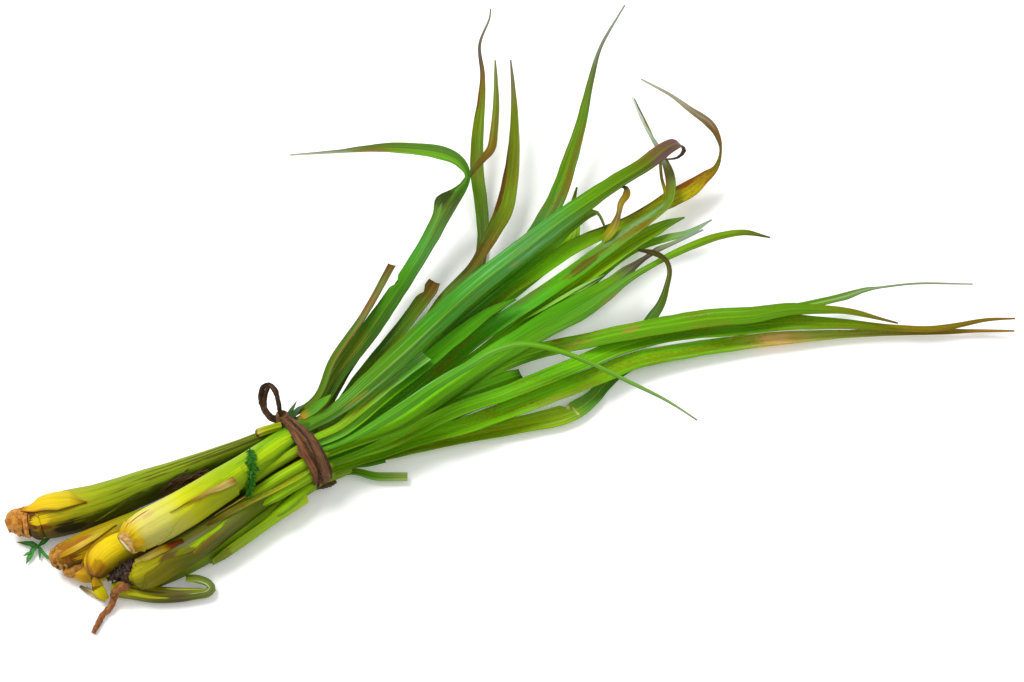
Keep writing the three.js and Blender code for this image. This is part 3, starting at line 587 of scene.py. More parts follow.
piece("top_stalk", ["stalk_2"],
      [stem(tapered(stalk_2), step=1.3, sides=48, bulge=knobby(end=0.01, size=0.1, rings=(0.045,)),
            shrink=0.3, end_finish=2),
       wrap(stalk_2,
            [(0.1, 210, 216, 0.1), (0.2, 150, 240, 0.5), (0.32, 122, 262, 0.7), (0.46, 134, 255, 0.9),
             (0.465, 150, 200, 0.7)], thick=0.6, step=1.2, columns=18, seed=8),
       wrap(stalk_2,
            [(0.18, 112, 113, 0.3), (0.24, 110, 115, 0.55), (0.34, 112, 126, 0.85), (0.44, 118, 146, 1.3),
             (0.46, 120, 147, 1.3)], thick=0.5, step=1.0, columns=10, finish=1, seed=8, own=True),
       wrap(stalk_2,
            [(0.5, 110, 130, 0.1), (0.66, 60, 150, 0.35), (0.76, 70, 140, 0.3), (0.8, 95, 105, 0.0)],
            thick=0.5, step=2.0, columns=14, seed=9),
       stem(plug, step=0.6, sides=36, bulge=lumpy(size=0.3, pace=5), finish=3, end_finish=2)],
      [top_skin, margin_skin, top_cut, cork("top_rim_cork", "#5a2f0c", "#b98a3c", "#e6cc84")])


# The middle stalk, low in the bunch: a brown corky knob with a smaller one grown beside it, a lobed
# pink-brown sheath crossed by a cream strip, and an olive stem that runs on under the top stalk.
def crumpled(size, pace, seed, turn=57):
    """Uneven skin as in lumpy, with a crease where it closes, as on withered bits."""
    return lambda share, degrees: size * rough(share * pace, degrees / turn, seed)


stalk_3 = [[-131, 12, 7.5, 6, 6], [-129, 11.5, 8, 11, 10], [-123, 10, 8.4, 15.3, 15],
           [-113, 9, 8.3, 17.3, 17.6], [-97, 8, 8.3, 16.4, 17], [-76, 7, 8.4, 14.5, 15.5],
           [-48, 7, 8, 13, 12], [-22, 7, 7.2, 13, 10], [0, 6.5, 7.4, 13, 8.5], [14, 8, 7.5, 11.5, 8.5],
           [26, 10, 7.8, 9.5, 7.5]]
mid_skin = skin("middle_stalk_skin",
                [(0.0, "#8a5810"), (0.04, "#a06c18"), (0.08, "#a88632"), (0.2, "#a48c1c"),
                 (0.3, "#98981a"), (0.5, "#84921c"), (1.0, "#6a7c1c")], width=50, length=161,
                marks=[(0.1, 0.07, 0.25, 0.05, "#9a6a3c", 0.9), (0.2, 0.06, 0.25, 0.05, "#ac9a20", 0.9),
                       (0.07, 0.03, 0.38, 0.05, "#7a4410", 0.9), (0.12, 0.05, 0.4, 0.05, "#c4a450", 0.8)],
                low=1.0, seed=10)
mid_knob = cork("middle_knob_cork", "#5a2f08", "#a87014", "#c99634")
piece("middle_stalk", ["stalk_3"],
      [stem(tapered(stalk_3), step=1.3, sides=44, bulge=knobby(end=0.08, size=0.8, rings=(0.05, 0.068)),
            shrink=0.35),
       wrap(stalk_3,
            [(0.06, 206, 210, 0.2), (0.09, 150, 212, 0.6), (0.2, 120, 210, 0.5), (0.34, 100, 215, 0.4),
             (0.5, 140, 200, 0.1)], thick=0.6, step=1.4, columns=16, seed=12),
       wrap(stalk_3,
            [(0.03, 106, 124, 0.5), (0.07, 100, 122, 1.2), (0.15, 92, 108, 1.0), (0.22, 84, 90, 0.4)],
            thick=0.5, step=1.1, columns=10, finish=2, seed=13, own=True),
       knob(stalk_3[:3], seed=4, size=0.9, finish=1),
       stem([[-128.4, 4.6, 5.2, 4, 4], [-125.8, 3.6, 5.4, 7.6, 7.2], [-121.5, 2.6, 5.6, 8.6, 8.4],
             [-114, 3, 5.8, 7, 7]], step=0.9, sides=28, bulge=crumpled(size=0.5, pace=7, seed=3.0),
            shrink=0.1, finish=1)],
      [mid_skin, mid_knob,
       skin("cream_strip_skin", [(0.0, "#a87c2c"), (0.35, "#ccb060"), (1.0, "#a89c34")], width=8,
            length=35, round_stem=False, edge="#6a4414", edge_share=0.8, seed=14)])

# The inner stalk, between the top and the middle one: a glossy yellow bulb, with a second yellow
# scale leaf grown from its foot underneath and the stub of another at its side.
stalk_4 = [[-118.5, -9, 12, 6, 6], [-117, -8, 12.4, 11, 11], [-112.5, -4.5, 13.2, 16, 16],
           [-105, -2.6, 13.6, 17.6, 17], [-95, -3.2, 13, 16.5, 16.5], [-80, -3.5, 12.5, 15, 15],
           [-50, -2.5, 12.5, 12, 13], [-20, 0, 14, 11, 11], [0, 1, 15, 10.5, 10], [14, 1, 17, 10, 9.5],
           [26, 1.4, 18, 8.5, 7.5]]
inner_skin = skin("inner_stalk_skin",
                  [(0.0, "#8a5412"), (0.02, "#b4841c"), (0.045, "#dcb828"), (0.14, "#ead44c"),
                   (0.24, "#cfc02c"), (0.32, "#b0b018"), (0.5, "#8c9a1c"), (1.0, "#6e841c")], width=52,
                  length=150, contrast=0.12,
                  marks=[(0.03, 0.02, 0.33, 0.1, "#8a5a14", 0.6),
                         (0.14, 0.16, 0.14, 0.04, "#7a4a10", 0.8)], low=0.9, seed=14)
foot_skin = skin("scale_foot_skin",
                 [(0.0, "#c9981c"), (0.3, "#b08a1c"), (0.5, "#d2c424"), (1.0, "#a8941c")], width=12,
                 length=16, contrast=0.3, marks=[(0.4, 0.08, 0.4, 0.5, "#4a2408", 0.8)], seed=15)
piece("inner_stalk", ["stalk_4"], [
    stem(tapered(stalk_4), step=1.3, sides=44, bulge=knobby(end=0.02, size=0.4), shrink=0.2),
    stem([[-124, 1.4, 5.4, 5, 5], [-120, -1.6, 5, 8.4, 8.4], [-113, -4.6, 5.2, 9, 9],
          [-102, -6.4, 6, 6, 8]], step=1.2, sides=24, bulge=knobby(end=0.5, size=0.7), finish=1),
    stem([[-117.5, -9, 10.5, 2.5, 1.8], [-118.6, -12.5, 7.8, 5.5, 1.6], [-118.4, -16, 5.2, 5.5, 1.5],
          [-117.4, -19, 3.4, 3, 1.3]], step=1.0, sides=24, bulge=knobby(end=0.5, size=0.5), finish=1),
], [inner_skin, foot_skin])

# The near stalk: a dark tangle of root bits at its foot, a grey-green body stained purple with a
# lime patch, and a dried cream strip with a red-brown edge along its top.
stalk_5 = [[-107.5, -17, 10.3, 5, 5], [-105.5, -17.6, 10.7, 8, 7.5], [-102, -19, 11.3, 9, 8.5],
           [-100.5, -19.8, 11.7, 14, 14], [-94, -20.5, 12.5, 16, 16], [-86, -20, 13, 16.4, 16.4],
           [-69, -19, 13, 15.3, 15.3], [-49, -16, 13, 13, 13], [-31, -13.5, 13.5, 11, 12],
           [-13, -11, 14.5, 10, 11], [0, -9, 16, 10, 11], [14, -8.5, 16.3, 9.5, 9.5],
           [26, -8.5, 16.6, 8, 7]]
near_skin = skin("near_stalk_skin",
                 [(0.0, "#2a1c0e"), (0.02, "#4a3414"), (0.04, "#a8a01c"), (0.14, "#a49c1c"),
                  (0.22, "#848a2c"), (0.32, "#86884a"), (0.44, "#8a9050"), (0.55, "#74882c"),
                  (1.0, "#627c20")], width=48, length=137,
                 marks=[(0.36, 0.07, 0.36, 0.045, "#a4cc10", 0.95),
                        (0.2, 0.05, 0.33, 0.04, "#6a4a3c", 0.8), (0.12, 0.06, 0.28, 0.05, "#a8a41c", 0.9),
                        (0.3, 0.1, 0.29, 0.03, "#84846a", 0.8), (0.3, 0.12, 0.41, 0.025, "#7a5a34", 0.7),
                        (0.5, 0.2, 0.22, 0.035, "#8a8a50", 0.6)], low=0.7, seed=16)
cream_skin = skin("near_strip_skin",
                  [(0.0, "#b9a860"), (0.3, "#dccb80"), (0.6, "#c4a85a"), (0.72, "#8a4424"),
                   (1.0, "#6a2c18")], width=10, length=42, marks=[(0.5, 0.5, 0.62, 0.14, "#7a3a20", 0.9)],
                  seed=18)
loose_skin = skin("near_loose_strip_skin",
                  [(0.0, "#7a5c2c"), (0.2, "#94924a"), (0.6, "#9ca648"), (1.0, "#84a430")], width=5,
                  length=60, round_stem=False, edge="#4c4a20", edge_share=0.6, specks=0.4, seed=19)
near_crown = cork("near_crown_cork", "#120807", "#38201a", "#5f4030")
crown_green = cork("crown_green", "#14200c", "#26401c", "#3f6a30")
root_cork = cork("root_cork", "#3a1c08", "#8a4e14", "#b0762e")
CROWN_BITS = 84
crown = []
for k in range(CROWN_BITS):
    across, deep = 16 * rough(k * 1.3, 3.3, 1.1), 6 * rough(k, 7.7, 2.1)
    place = Vector((-104.5 + across, -14.6 - 0.1 * across + 0.7 * deep, 13 + 0.36 * across - deep))
    way = Vector((rough(k, 0.1, 7.1), rough(k, 4.1, 0.7), rough(k, 1.7, 4.1))) * 8
    crown.append(stem([[*(place - way), 0.5, 0.5], [*(place + way.yzx * 0.1), 2, 1.6],
                       [*(place + way), 0.4, 0.4]], step=0.8, sides=8,
                      bulge=crumpled(size=0.6, pace=8, seed=k, turn=50), shrink=0.1,
                      finish=4 if k % 7 == 5 else 2))
piece("near_stalk", ["stalk_5"],
      [stem(tapered(stalk_5), step=1.2, sides=44, bulge=knobby(end=0.06, size=1.0), shrink=0.35),
       wrap(stalk_5,
            [(0.05, 226, 236, 0.2), (0.08, 130, 250, 0.8), (0.16, 120, 250, 0.7), (0.26, 150, 230, 0.4),
             (0.36, 200, 220, 0.1)], thick=0.6, step=1.1, columns=18, seed=18),
       wrap(stalk_5,
            [(0.22, 160, 170, 0.2), (0.34, 118, 240, 0.35), (0.6, 104, 250, 0.4), (0.85, 150, 220, 0.2)],
            thick=0.5, step=1.8, columns=14, seed=19),
       wrap(stalk_5, [(0.4, 56, 62, 0.3), (0.55, 54, 74, 1.1), (0.8, 50, 66, 1.0), (0.95, 52, 58, 0.4)],
            thick=0.5, step=1.8, columns=9, finish=1, seed=20, own=True),
       stem([[-99, -16.6, 18, 3.5, 1.4], [-92, -18.6, 20.8, 4.4, 1.5], [-85, -19.2, 21.8, 4.4, 1.5],
             [-75, -19.6, 21.2, 2.2, 1.3]], step=1.0, sides=20,
            bulge=crumpled(size=0.3, pace=9, seed=1.0), shrink=0.1, finish=1),
       stem([[-105, -21.4, 10.6, 2, 2], [-106.4, -21.2, 10.4, 4.6, 4], [-109.4, -20.6, 9.8, 5, 4.4],
             [-112.4, -20, 8.4, 3.4, 3.2], [-115.2, -19.8, 5.6, 2.2, 2]], step=0.7, sides=28,
            bulge=lumpy(size=0.9, pace=9), shrink=0.2, finish=3),
       blade([[-62, -17.2, 19.4, 0.5, -10], [-58, -17, 19.9, 2.2, -10], [-48.8, -16.4, 19.9, 3.6, -8],
              [-36, -15.8, 19.3, 4.2, -14], [-23.7, -16.3, 19.9, 4, -10], [-10.5, -16.4, 20.8, 3.4],
              [-3, -16, 21.5, 2.4]], step=1.5, columns=9, rib=0.6, edge=0.4, ripple=0.5, seed=19,
             finish=5),
       knob(stalk_5[:3], seed=9, size=1.6, finish=2), *crown],
      [near_skin, cream_skin, near_crown, root_cork, crown_green, loose_skin])

# The thin stalk: a slender green stem on the near side, with one loose sheath wrapped round it. It
# lies on the surface and is the lowest stem that the tie holds.
stalk_6 = [[-99, -22, 5.5, 5, 5], [-97, -22, 5.8, 8, 8], [-90, -22.4, 5.6, 9, 10],
           [-78, -22.4, 5.4, 10, 11.5], [-58, -21.4, 5.6, 10.5, 11.5], [-36, -18.2, 6.2, 10.5, 10.5],
           [-17, -14, 6.8, 12, 10], [0, -10.5, 7, 14, 9.5], [14, -12, 7.3, 13, 9], [25, -13, 7.3, 11, 8]]
thin_skin = skin("thin_stalk_skin",
                 [(0.0, "#7a6a2c"), (0.1, "#7f8f34"), (0.4, "#7c9c30"), (0.6, "#8fb434"),
                  (1.0, "#84a42c")], width=34, length=128, low=0.4, seed=20)
piece("thin_stalk", ["stalk_6"], [
    stem(tapered(stalk_6), step=1.8, sides=32, bulge=knobby(end=0.05, size=0.5), shrink=0.2),
    wrap(stalk_6, [(0.25, 200, 210, 0.1), (0.5, 98, 212, 0.35), (0.8, 90, 212, 0.35), (0.95, 160, 200, 0.1)],
         thick=0.4, step=2.0, columns=12, seed=21),
], [thin_skin])

# Young shoots: four thin, tender, yellow-green stems that come out pointed from under the top
# stalk's sheath, run side by side between the stalks, and are held by the tie.
SHOOT_POINT = 0.25    # how narrow a shoot's lower end is drawn, as a share of its given width
shoots = [
    ("shoot_a", "#989c1c", "#94b41c",
     [[-42, -6.5, 20, 3, 2.5], [-33, -7, 22, 4.5, 4], [-19, -6, 24, 5, 5], [-4, -5.5, 25.5, 5.5, 5],
      [14, -7, 26.8, 6.6, 5], [25, -7.5, 27.2, 6, 4]]),
    ("shoot_b", "#94aa20", "#98be2c",
     [[-42, -12, 17, 3, 3], [-29, -12, 19, 6, 5], [-17, -12, 21, 6, 6], [0, -12, 22, 6, 6.5],
      [14, -13, 22.2, 6, 7.5], [25, -13.8, 22.2, 5.5, 7]]),
    ("shoot_c", "#8aa634", "#98c23a",
     [[-40, -17, 14, 3, 3], [-25, -17.5, 16.5, 6, 5], [-14, -17, 17, 6, 6], [0, -16, 17, 5.5, 7],
      [14, -16.3, 16.3, 6, 7], [25, -16.8, 15.8, 5.5, 6]]),
    ("shoot_d", "#84a434", "#94be2c",
     [[-36, -23, 9, 3, 3], [-23, -22.5, 11, 5.5, 4.5], [-13, -20, 11.5, 6, 5], [0, -16.8, 11, 5, 5.5],
      [14, -17.8, 10.7, 5.5, 6], [25, -18.3, 10.7, 5, 5]])]
for index, (node, low_end, high_end, places) in enumerate(shoots):
    shoot_skin = skin(node + "_skin", [(0.0, low_end), (0.3, high_end), (0.7, high_end), (1.0, low_end)],
                      width=18, length=70, low=0.5, seed=24 + index)
    places[0][3:] = [size * SHOOT_POINT for size in places[0][3:]]
    piece("young_" + node, [node],
          [stem(tapered(places), step=1.8, sides=24, bulge=knobby(end=0.05, size=0.3), shrink=0.1)],
          [shoot_skin])

# Leaves: long, thin, channelled blades with a paler midrib, rough and limp, which grow from the
# tops of the stalks and shoots inside the tie and fan out beyond it. Some are cut, torn or dried at
# the tip. Colours run from the root to the tip, and across from the near edge.
TIE_CENTRE_Z = 16.2
HIDDEN_ROOT = 16      # how far a leaf runs on into the tie
DRAWN_IN = 0.85       # how much closer and narrower it is there
STRIP_START = 0.6     # width of a torn strip where it leaves its blade
STRIP_WIDTH = 0.8     # its later widths, as a share of those given


def leaf(number, slot, length, stops, places, nicks=(), strips=(), strip_stops=(), rib=0.05, **looks):
    seed = 40 + number * 3
    width = max(p[3] for p in places)
    made = [skin(f"leaf_{number:02}_skin", stops, width=width, length=length, round_stem=False, seed=seed,
                 rib=rib, **looks)]
    x, y, z, root = places[0][:4]
    inside = [x - HIDDEN_ROOT, y * DRAWN_IN, z + (TIE_CENTRE_Z - z) * 0.04, root * DRAWN_IN]
    parts = [blade([inside, *places], nicks=nicks, seed=seed)]
    if strips:
        made.append(skin(f"leaf_{number:02}_strip_skin", strip_stops, width=4, length=60,
                         round_stem=False, specks=0.15, seed=seed + 1))
    for k, strip in enumerate(strips):
        strip = [[*strip[0][:3], STRIP_START], *[[*p[:3], p[3] * STRIP_WIDTH] for p in strip[1:]]]
        parts.append(blade(strip, step=1.5, columns=7, rib=0.5, edge=0.3, ripple=0.5, seed=seed + 1 + k,
                           finish=1))
    piece(f"blade_{number:02}", [f"leaf_{number:02}"], parts, made)


leaf(1, "leaf_green", 95,
     [(0.0, "#516714"), (0.25, "#4a6a20"), (0.5, "#52682a"), (0.6, "#586a34"), (0.75, "#68603a"),
      (0.88, "#616934"), (1.0, "#4f3b20")],
     [[20, 20.8, 20.8, 3.6], [39, 37, 21.5, 4], [66, 53.8, 20.8, 3.8], [96, 76.6, 19, 4.2]],
     strips=[[[-1, 14.6, 22.4, 2], [2.4, 17.4, 22.6, 3.2], [6, 20.2, 22.2, 2.4], [10.4, 23.7, 21.5, 0.4]],
             [[0, 13.4, 23.6, 2], [4.4, 15.8, 23.4, 4], [8.5, 18.3, 22.6, 3], [12, 19.6, 22, 0.5]]],
     strip_stops=[(0.0, "#3a5a2c"), (0.5, "#33542c"), (1.0, "#55704a")],
     marks=[(0.5, 0.4, 0.1, 0.12, "#6a4424", 0.8), (0.72, 0.12, 0.8, 0.2, "#8a5a3c", 0.7)], specks=0.4)
leaf(2, "leaf_bluish_green", 250,
     [(0.0, "#577322"), (0.15, "#3f660b"), (0.25, "#39680d"), (0.35, "#417519"), (0.45, "#528a41"),
      (0.53, "#54752f"), (0.56, "#42561d"), (0.6, "#528432"), (0.75, "#56860e"), (0.85, "#637328"),
      (0.93, "#929c83"), (1.0, "#b0b6a2")],
     [[20, 18, 17.3, 5], [38, 31, 17, 9], [63, 45, 17, 10.7], [90.5, 61.6, 17, 9.4],
      [117.5, 77.8, 20, 8.8], [138.5, 89.8, 28, 9, 10], [154, 96, 34, 3.2, 40], [155, 104, 37, 5.8, 20],
      [151, 116, 36, 8, 10], [134, 138, 30, 5.9], [122, 149, 26, 3.8], [109, 159, 22, 1.9],
      [89, 174, 17, 0.9]], nicks=[(0.365, 1, 0.01, 0.5), (0.55, 1, 0.018, -0.7)],
     marks=[(0.84, 0.05, 0.75, 0.3, "#7a5638", 0.7), (0.555, 0.025, 0.85, 0.25, "#2f3a16", 0.9),
            (0.18, 0.1, 0.6, 0.3, "#6a6a2a", 0.5)], shade=(0.67, 1.14))
leaf(3, "leaf_bluish_green", 250,
     [(0.0, "#5a7414"), (0.25, "#446a10"), (0.35, "#3a6c12"), (0.45, "#568a48"), (0.55, "#548c3a"),
      (0.62, "#5c7c40"), (0.68, "#6c642c"), (0.72, "#6c602c"), (0.78, "#6c6a2a"), (0.87, "#6a8038"),
      (1.0, "#7a8450")],
     [[20, 17, 12.8, 5], [42, 33, 12.5, 6.5], [67, 49, 12, 7], [93, 65.5, 12, 6.8], [121, 82.5, 13, 6],
      [147, 98, 20, 4.5], [158, 102, 27, 2.7, 40], [169, 106.5, 29, 3.7, 30], [178, 111.5, 28, 4.8],
      [186, 121.5, 27, 4.3], [199.5, 141, 24, 3.5], [210.5, 159, 22, 2.2], [219, 173.5, 20, 0.9]],
     marks=[(0.7, 0.03, 0.1, 0.3, "#6a4c2c", 0.4)], shade=(0.77, 1.11), specks=0.35)
leaf(4, "leaf_bluish_green", 300,
     [(0.0, "#5a892a"), (0.25, "#44730d"), (0.35, "#528f31"), (0.45, "#4c5f1e"), (0.52, "#5a7735"),
      (0.65, "#52771b"), (0.75, "#627713"), (0.83, "#5c5a32"), (0.87, "#4c453e"), (0.93, "#756f65"),
      (1.0, "#8a897d")],
     [[20, 11, 5.5, 5], [40, 20, 4.4, 5.5], [76, 35, 2, 6.2], [112, 51, 1.1, 6.3], [138, 62, 1.2, 6.3],
      [151, 76.5, 2, 6], [161, 93.5, 6, 7], [171.5, 115.5, 11, 7.4], [184, 135, 15, 6.5],
      [198, 154, 17, 4.4], [208, 169, 18, 2.8], [219, 190, 18, 1.7], [236, 207, 16, 1.1],
      [241, 214, 15, 0.9]], marks=[(0.78, 0.05, 0.9, 0.2, "#6a4424", 0.8)], specks=0.45)
leaf(5, "leaf_bluish_green", 270,
     [(0.0, "#5a6213"), (0.25, "#487d20"), (0.35, "#568d35"), (0.45, "#4c6228"), (0.55, "#3e4e10"),
      (0.65, "#627d1a"), (0.75, "#667222"), (0.87, "#627226"), (0.94, "#6a684b"), (1.0, "#6a6855")],
     [[20, 6, 8.8, 4.5], [77, 31, 8, 4.6], [112, 52, 8, 4.2], [136, 61, 9, 5.2], [151, 70, 11, 7.8],
      [168, 82.5, 12, 10], [181.5, 97.5, 14, 8.6], [193, 112.5, 16, 6.7], [207, 134, 18, 4.1],
      [219, 155, 19, 2.2], [227, 170, 19, 0.9]],
     marks=[(0.68, 0.11, 0.95, 0.22, "#54301a", 0.9), (0.5, 0.05, 0.8, 0.3, "#463214", 0.55)], specks=0.5)
leaf(6, "leaf_green", 105,
     [(0.0, "#648a28"), (0.2, "#5f9830"), (0.35, "#4c8724"), (0.45, "#508c20"), (0.55, "#3a6c10"),
      (0.7, "#406e10"), (0.87, "#48660f"), (0.94, "#5a4c16"), (1.0, "#54381c")],
     [[20, 13.5, 9, 4.5], [51, 29.8, 8.6, 6.3], [83.5, 45, 9.5, 7.4], [112.5, 60.2, 11, 8.4]],
     nicks=[(0.93, 1, 0.02, 0.5), (1.0, -1, 0.03, 0.35)], specks=0.4)
leaf(7, "leaf_bluish_green", 270,
     [(0.0, "#4a7828"), (0.2, "#4a7c28"), (0.35, "#488538"), (0.45, "#559248"), (0.55, "#558e50"),
      (0.65, "#578d40"), (0.73, "#578520"), (0.83, "#577218"), (0.89, "#675634"), (0.93, "#674c48"),
      (1.0, "#765f50")],
     [[20, 2, 30.5, 8], [34, 4, 32.5, 10.5], [63, 12, 34.5, 12.9], [93, 22, 34.5, 13.6],
      [123, 32, 33, 13.8], [152, 40, 31, 13.4], [184, 48, 30, 12.5], [216, 54, 29, 11.6],
      [241, 58, 28, 10.6], [260, 63, 27, 9.5], [268, 64.5, 24, 7.5], [269.5, 62, 20, 5],
      [265, 61, 18, 3.2], [259, 64, 17, 1.6]],
     strips=[[[2.6, 7.4, 28.4, 5], [6.6, 8.2, 29.8, 5.6], [12, 8, 31.2, 6.2], [18, 8.6, 33, 5.4],
              [23, 10, 33.6, 1]]],
     strip_stops=[(0.0, "#7a5c20"), (0.2, "#94802a"), (0.4, "#4a8410"), (0.75, "#4a8a0c"),
                  (1.0, "#6a9c20")], nicks=[(0.77, -1, 0.08, 0.26)],
     marks=[(0.1, 0.03, 0.3, 0.2, "#8a7a3c", 0.5), (0.88, 0.03, 0.2, 0.4, "#5f4450", 0.7),
            (0.5, 0.02, 0.2, 0.1, "#8a6a4c", 0.5)], shade=(0.64, 1.14), rib=0.12, specks=0.15)
# Leaves 8 and 9 are coloured lighter, as painted light against the shade of the leaves lying over them.
leaf(8, "leaf_bluish_green", 215,
     [(0.0, "#768631"), (0.25, "#7cb850"), (0.35, "#64a82a"), (0.45, "#428214"), (0.65, "#4e9e16"),
      (0.8, "#8ecb58"), (0.93, "#7da343"), (1.0, "#44591f")],
     [[20, 1, 26, 5.5], [40, 4, 25.8, 7], [68, 12, 25.5, 9], [97, 21, 26.2, 10.1], [127, 29, 27, 10.2],
      [152, 36, 26, 9.8], [173, 42, 25, 8.9], [189, 46, 25, 6.8], [200, 48, 24, 5.3], [204, 47, 23, 3.7],
      [204, 42, 21, 2.6], [203, 37, 19, 1.6]], shade=(0.77, 1.14))
leaf(9, "leaf_green", 230,
     [(0.0, "#7ca03c"), (0.3, "#66b832"), (0.5, "#6cb032"), (0.65, "#80b824"), (0.78, "#82b03a"),
      (0.9, "#90b850"), (1.0, "#54681c")],
     [[20, 2, 18.8, 5], [60, 7.5, 18, 9], [95, 18, 17.2, 10.1], [125, 26, 17.2, 10.8],
      [154, 34, 17, 11.4], [173, 39, 16.5, 11.5], [186, 46, 14.5, 9.5], [197, 58, 11, 6],
      [205, 71, 8, 2.7], [213, 80, 6.5, 0.9]], shade=(0.85, 1.11))
leaf(10, "leaf_bluish_green", 340,
     [(0.0, "#6a9048"), (0.25, "#2c5c18"), (0.35, "#3c6634"), (0.45, "#4a8048"), (0.55, "#508040"),
      (0.63, "#547c20"), (0.75, "#567a18"), (0.84, "#5f6c40"), (0.93, "#848e80"), (1.0, "#98a090")],
     [[20, 2, 14.8, 4.5], [40, 8, 13.5, 5.5], [65, 15, 12.5, 6.6], [102, 28, 11, 7.7], [137, 41, 10, 8.3],
      [163, 54, 10, 9.5], [183, 65.6, 11, 10.1], [198, 75.6, 13, 9.6], [216, 91.6, 16, 8.1],
      [233, 107.6, 19, 6], [255.5, 131.8, 21, 3.6], [273, 149, 22, 2], [304, 171, 21, 0.9]],
     marks=[(0.7, 0.04, 0.3, 0.3, "#66602c", 0.2)], specks=0.6, shade=(0.82, 1.11))
leaf(11, "leaf_yellow_green", 345,
     [(0.0, "#6cb643"), (0.25, "#56a423"), (0.35, "#4e891b"), (0.45, "#6cb215"), (0.55, "#70a025"),
      (0.64, "#7a8425"), (0.7, "#a5a41d"), (0.75, "#a3891d"), (0.785, "#757921"), (0.82, "#655d32"),
      (0.85, "#695436"), (0.9, "#8d8770"), (1.0, "#b0b6a0")],
     [[20, -2, 21.6, 5], [56, 2, 22.5, 8], [86, 12, 22.5, 9.2], [112, 20, 22.8, 9.2], [134, 27, 23, 8.7],
      [158, 31, 22, 9.3], [182, 36, 20, 9.4], [217, 38, 16, 7.4], [234, 40, 14, 8], [247.5, 41.8, 12, 11],
      [260.5, 42.6, 12, 11], [271.5, 44.6, 13, 7], [280, 46, 15, 3.2, 40], [287, 52, 18, 2.2, 70],
      [291, 61, 20, 3.8, 40], [292, 70, 21, 4.9, 10], [289, 85, 21, 3.3], [287, 99, 20, 1.9],
      [281, 120, 18, 0.9]],
     marks=[(0.6, 0.09, 0.97, 0.16, "#5a3410", 0.85), (0.735, 0.04, 0.95, 0.25, "#7a3212", 0.8),
            (0.76, 0.02, 0.05, 0.3, "#6a3212", 0.6)], specks=0.6, shade=(1, 0.96))
leaf(12, "leaf_bluish_green", 60,
     [(0.0, "#85b63b"), (0.35, "#76a036"), (0.5, "#7aaa49"), (0.7, "#76b15a"), (0.9, "#6aa650"),
      (1.0, "#7cae5c")], [[19, -5.5, 28.4, 4.5], [37, -1, 30.5, 7.5], [57, 4.5, 31, 9], [76, 8, 31, 8.5]],
     marks=[(0.42, 0.25, 0.45, 0.08, "#80683c", 0.8), (0.7, 0.1, 0.3, 0.1, "#7a7a4a", 0.5)], specks=0.2)
leaf(13, "leaf_bluish_green", 120,
     [(0.0, "#70a74d"), (0.3, "#7cba46"), (0.45, "#549634"), (0.6, "#579b2e"), (0.8, "#4e9321"),
      (1.0, "#448119")],
     [[19, -8.5, 26.4, 4.5], [50, 0, 28, 8.2], [74, 6, 28, 9], [98, 12, 28.5, 8.1], [119, 17, 27.5, 5.6],
      [135, 18, 26.5, 1.5]], shade=(0.88, 1.11))
leaf(14, "leaf_yellow_green", 320,
     [(0.0, "#61ac2b"), (0.25, "#478f20"), (0.4, "#5ea649"), (0.5, "#5ca13c"), (0.58, "#5e903e"),
      (0.68, "#668f42"), (0.76, "#677d30"), (0.83, "#676c45"), (0.88, "#8b9b82"), (0.95, "#bdceba"),
      (1.0, "#d2e0cf")],
     [[20, -6.5, 18.4, 5], [53, -3.5, 20.3, 7.4], [81, 4, 19.8, 8.5], [106, 11, 19.4, 9.1],
      [129, 15, 19.5, 9.2], [152, 18, 20, 9.3], [176, 22, 20, 9.3], [194, 25, 21, 8.9],
      [213, 28, 22, 7.9], [230, 31, 22, 5.8], [241, 35, 21, 4.8], [249, 44, 19, 5.3], [255, 54, 17, 5.4],
      [260.5, 69.2, 15, 3.3], [266, 95.3, 14, 1.4], [271.5, 114, 14, 0.9]],
     strips=[[[234, 31.5, 21.8, 3], [243, 40, 19.5, 2.6], [250, 54, 17, 2.1], [259, 69.5, 15, 2.2],
              [264.5, 84.5, 14, 1.5], [272, 113, 13.6, 0.9]],
             [[195, 29, 21.4, 4], [200, 31.2, 22.2, 7], [206, 34, 23.5, 6.6], [212, 39, 25, 3.4],
              [217, 44, 26, 4.4], [222, 46.5, 27, 5.2], [224.4, 51, 27, 3.2], [221, 55.4, 26, 1.2]]],
     strip_stops=[(0.0, "#6a7c24"), (0.22, "#8a8420"), (0.42, "#6a5434"), (0.58, "#847430"),
                  (0.75, "#7a6424"), (0.88, "#54503c"), (1.0, "#4a4a44")],
     # the first mark, a pale grey-green band along the upper half, is a painted highlight
     marks=[(0.66, 0.1, 0.72, 0.18, "#84a47c", 0.6), (0.55, 0.05, 0.5, 0.35, "#544a1c", 0.85),
            (0.67, 0.03, 0.3, 0.3, "#6a6228", 0.6), (0.44, 0.05, 0.8, 0.2, "#6a6a3c", 0.5)], specks=0.55)
leaf(15, "leaf_yellow_green", 245,
     [(0.0, "#84c43e"), (0.3, "#86cc50"), (0.45, "#64a42c"), (0.6, "#5f941c"), (0.72, "#8ec030"),
      (0.87, "#86ae3a"), (1.0, "#587838")],
     [[20, -8.5, 14.8, 5], [57, -7.5, 16.5, 7], [84, -1, 16, 8], [119, 7, 15, 8.7], [150, 14, 15, 9.3],
      [174, 18, 16, 9.9], [192, 21, 17, 10.4], [209, 24, 17, 9.4], [224, 25, 17, 7.9], [235, 26, 16, 5.3],
      [245, 25, 16, 1.1]],
     strips=[[[132.9, 10.3, 17.4, 1], [150.4, 11.2, 18, 2.6], [169, 12.5, 18.4, 2.4],
              [186.1, 13.1, 18.2, 0.4]],
             [[155.4, 11.4, 17.8, 1], [172, 11.4, 17.6, 1.8], [183.8, 12.4, 17, 0.3]]],
     strip_stops=[(0.0, "#6aa83c"), (0.5, "#8cc060"), (1.0, "#94b878")], shade=(0.82, 1.14))
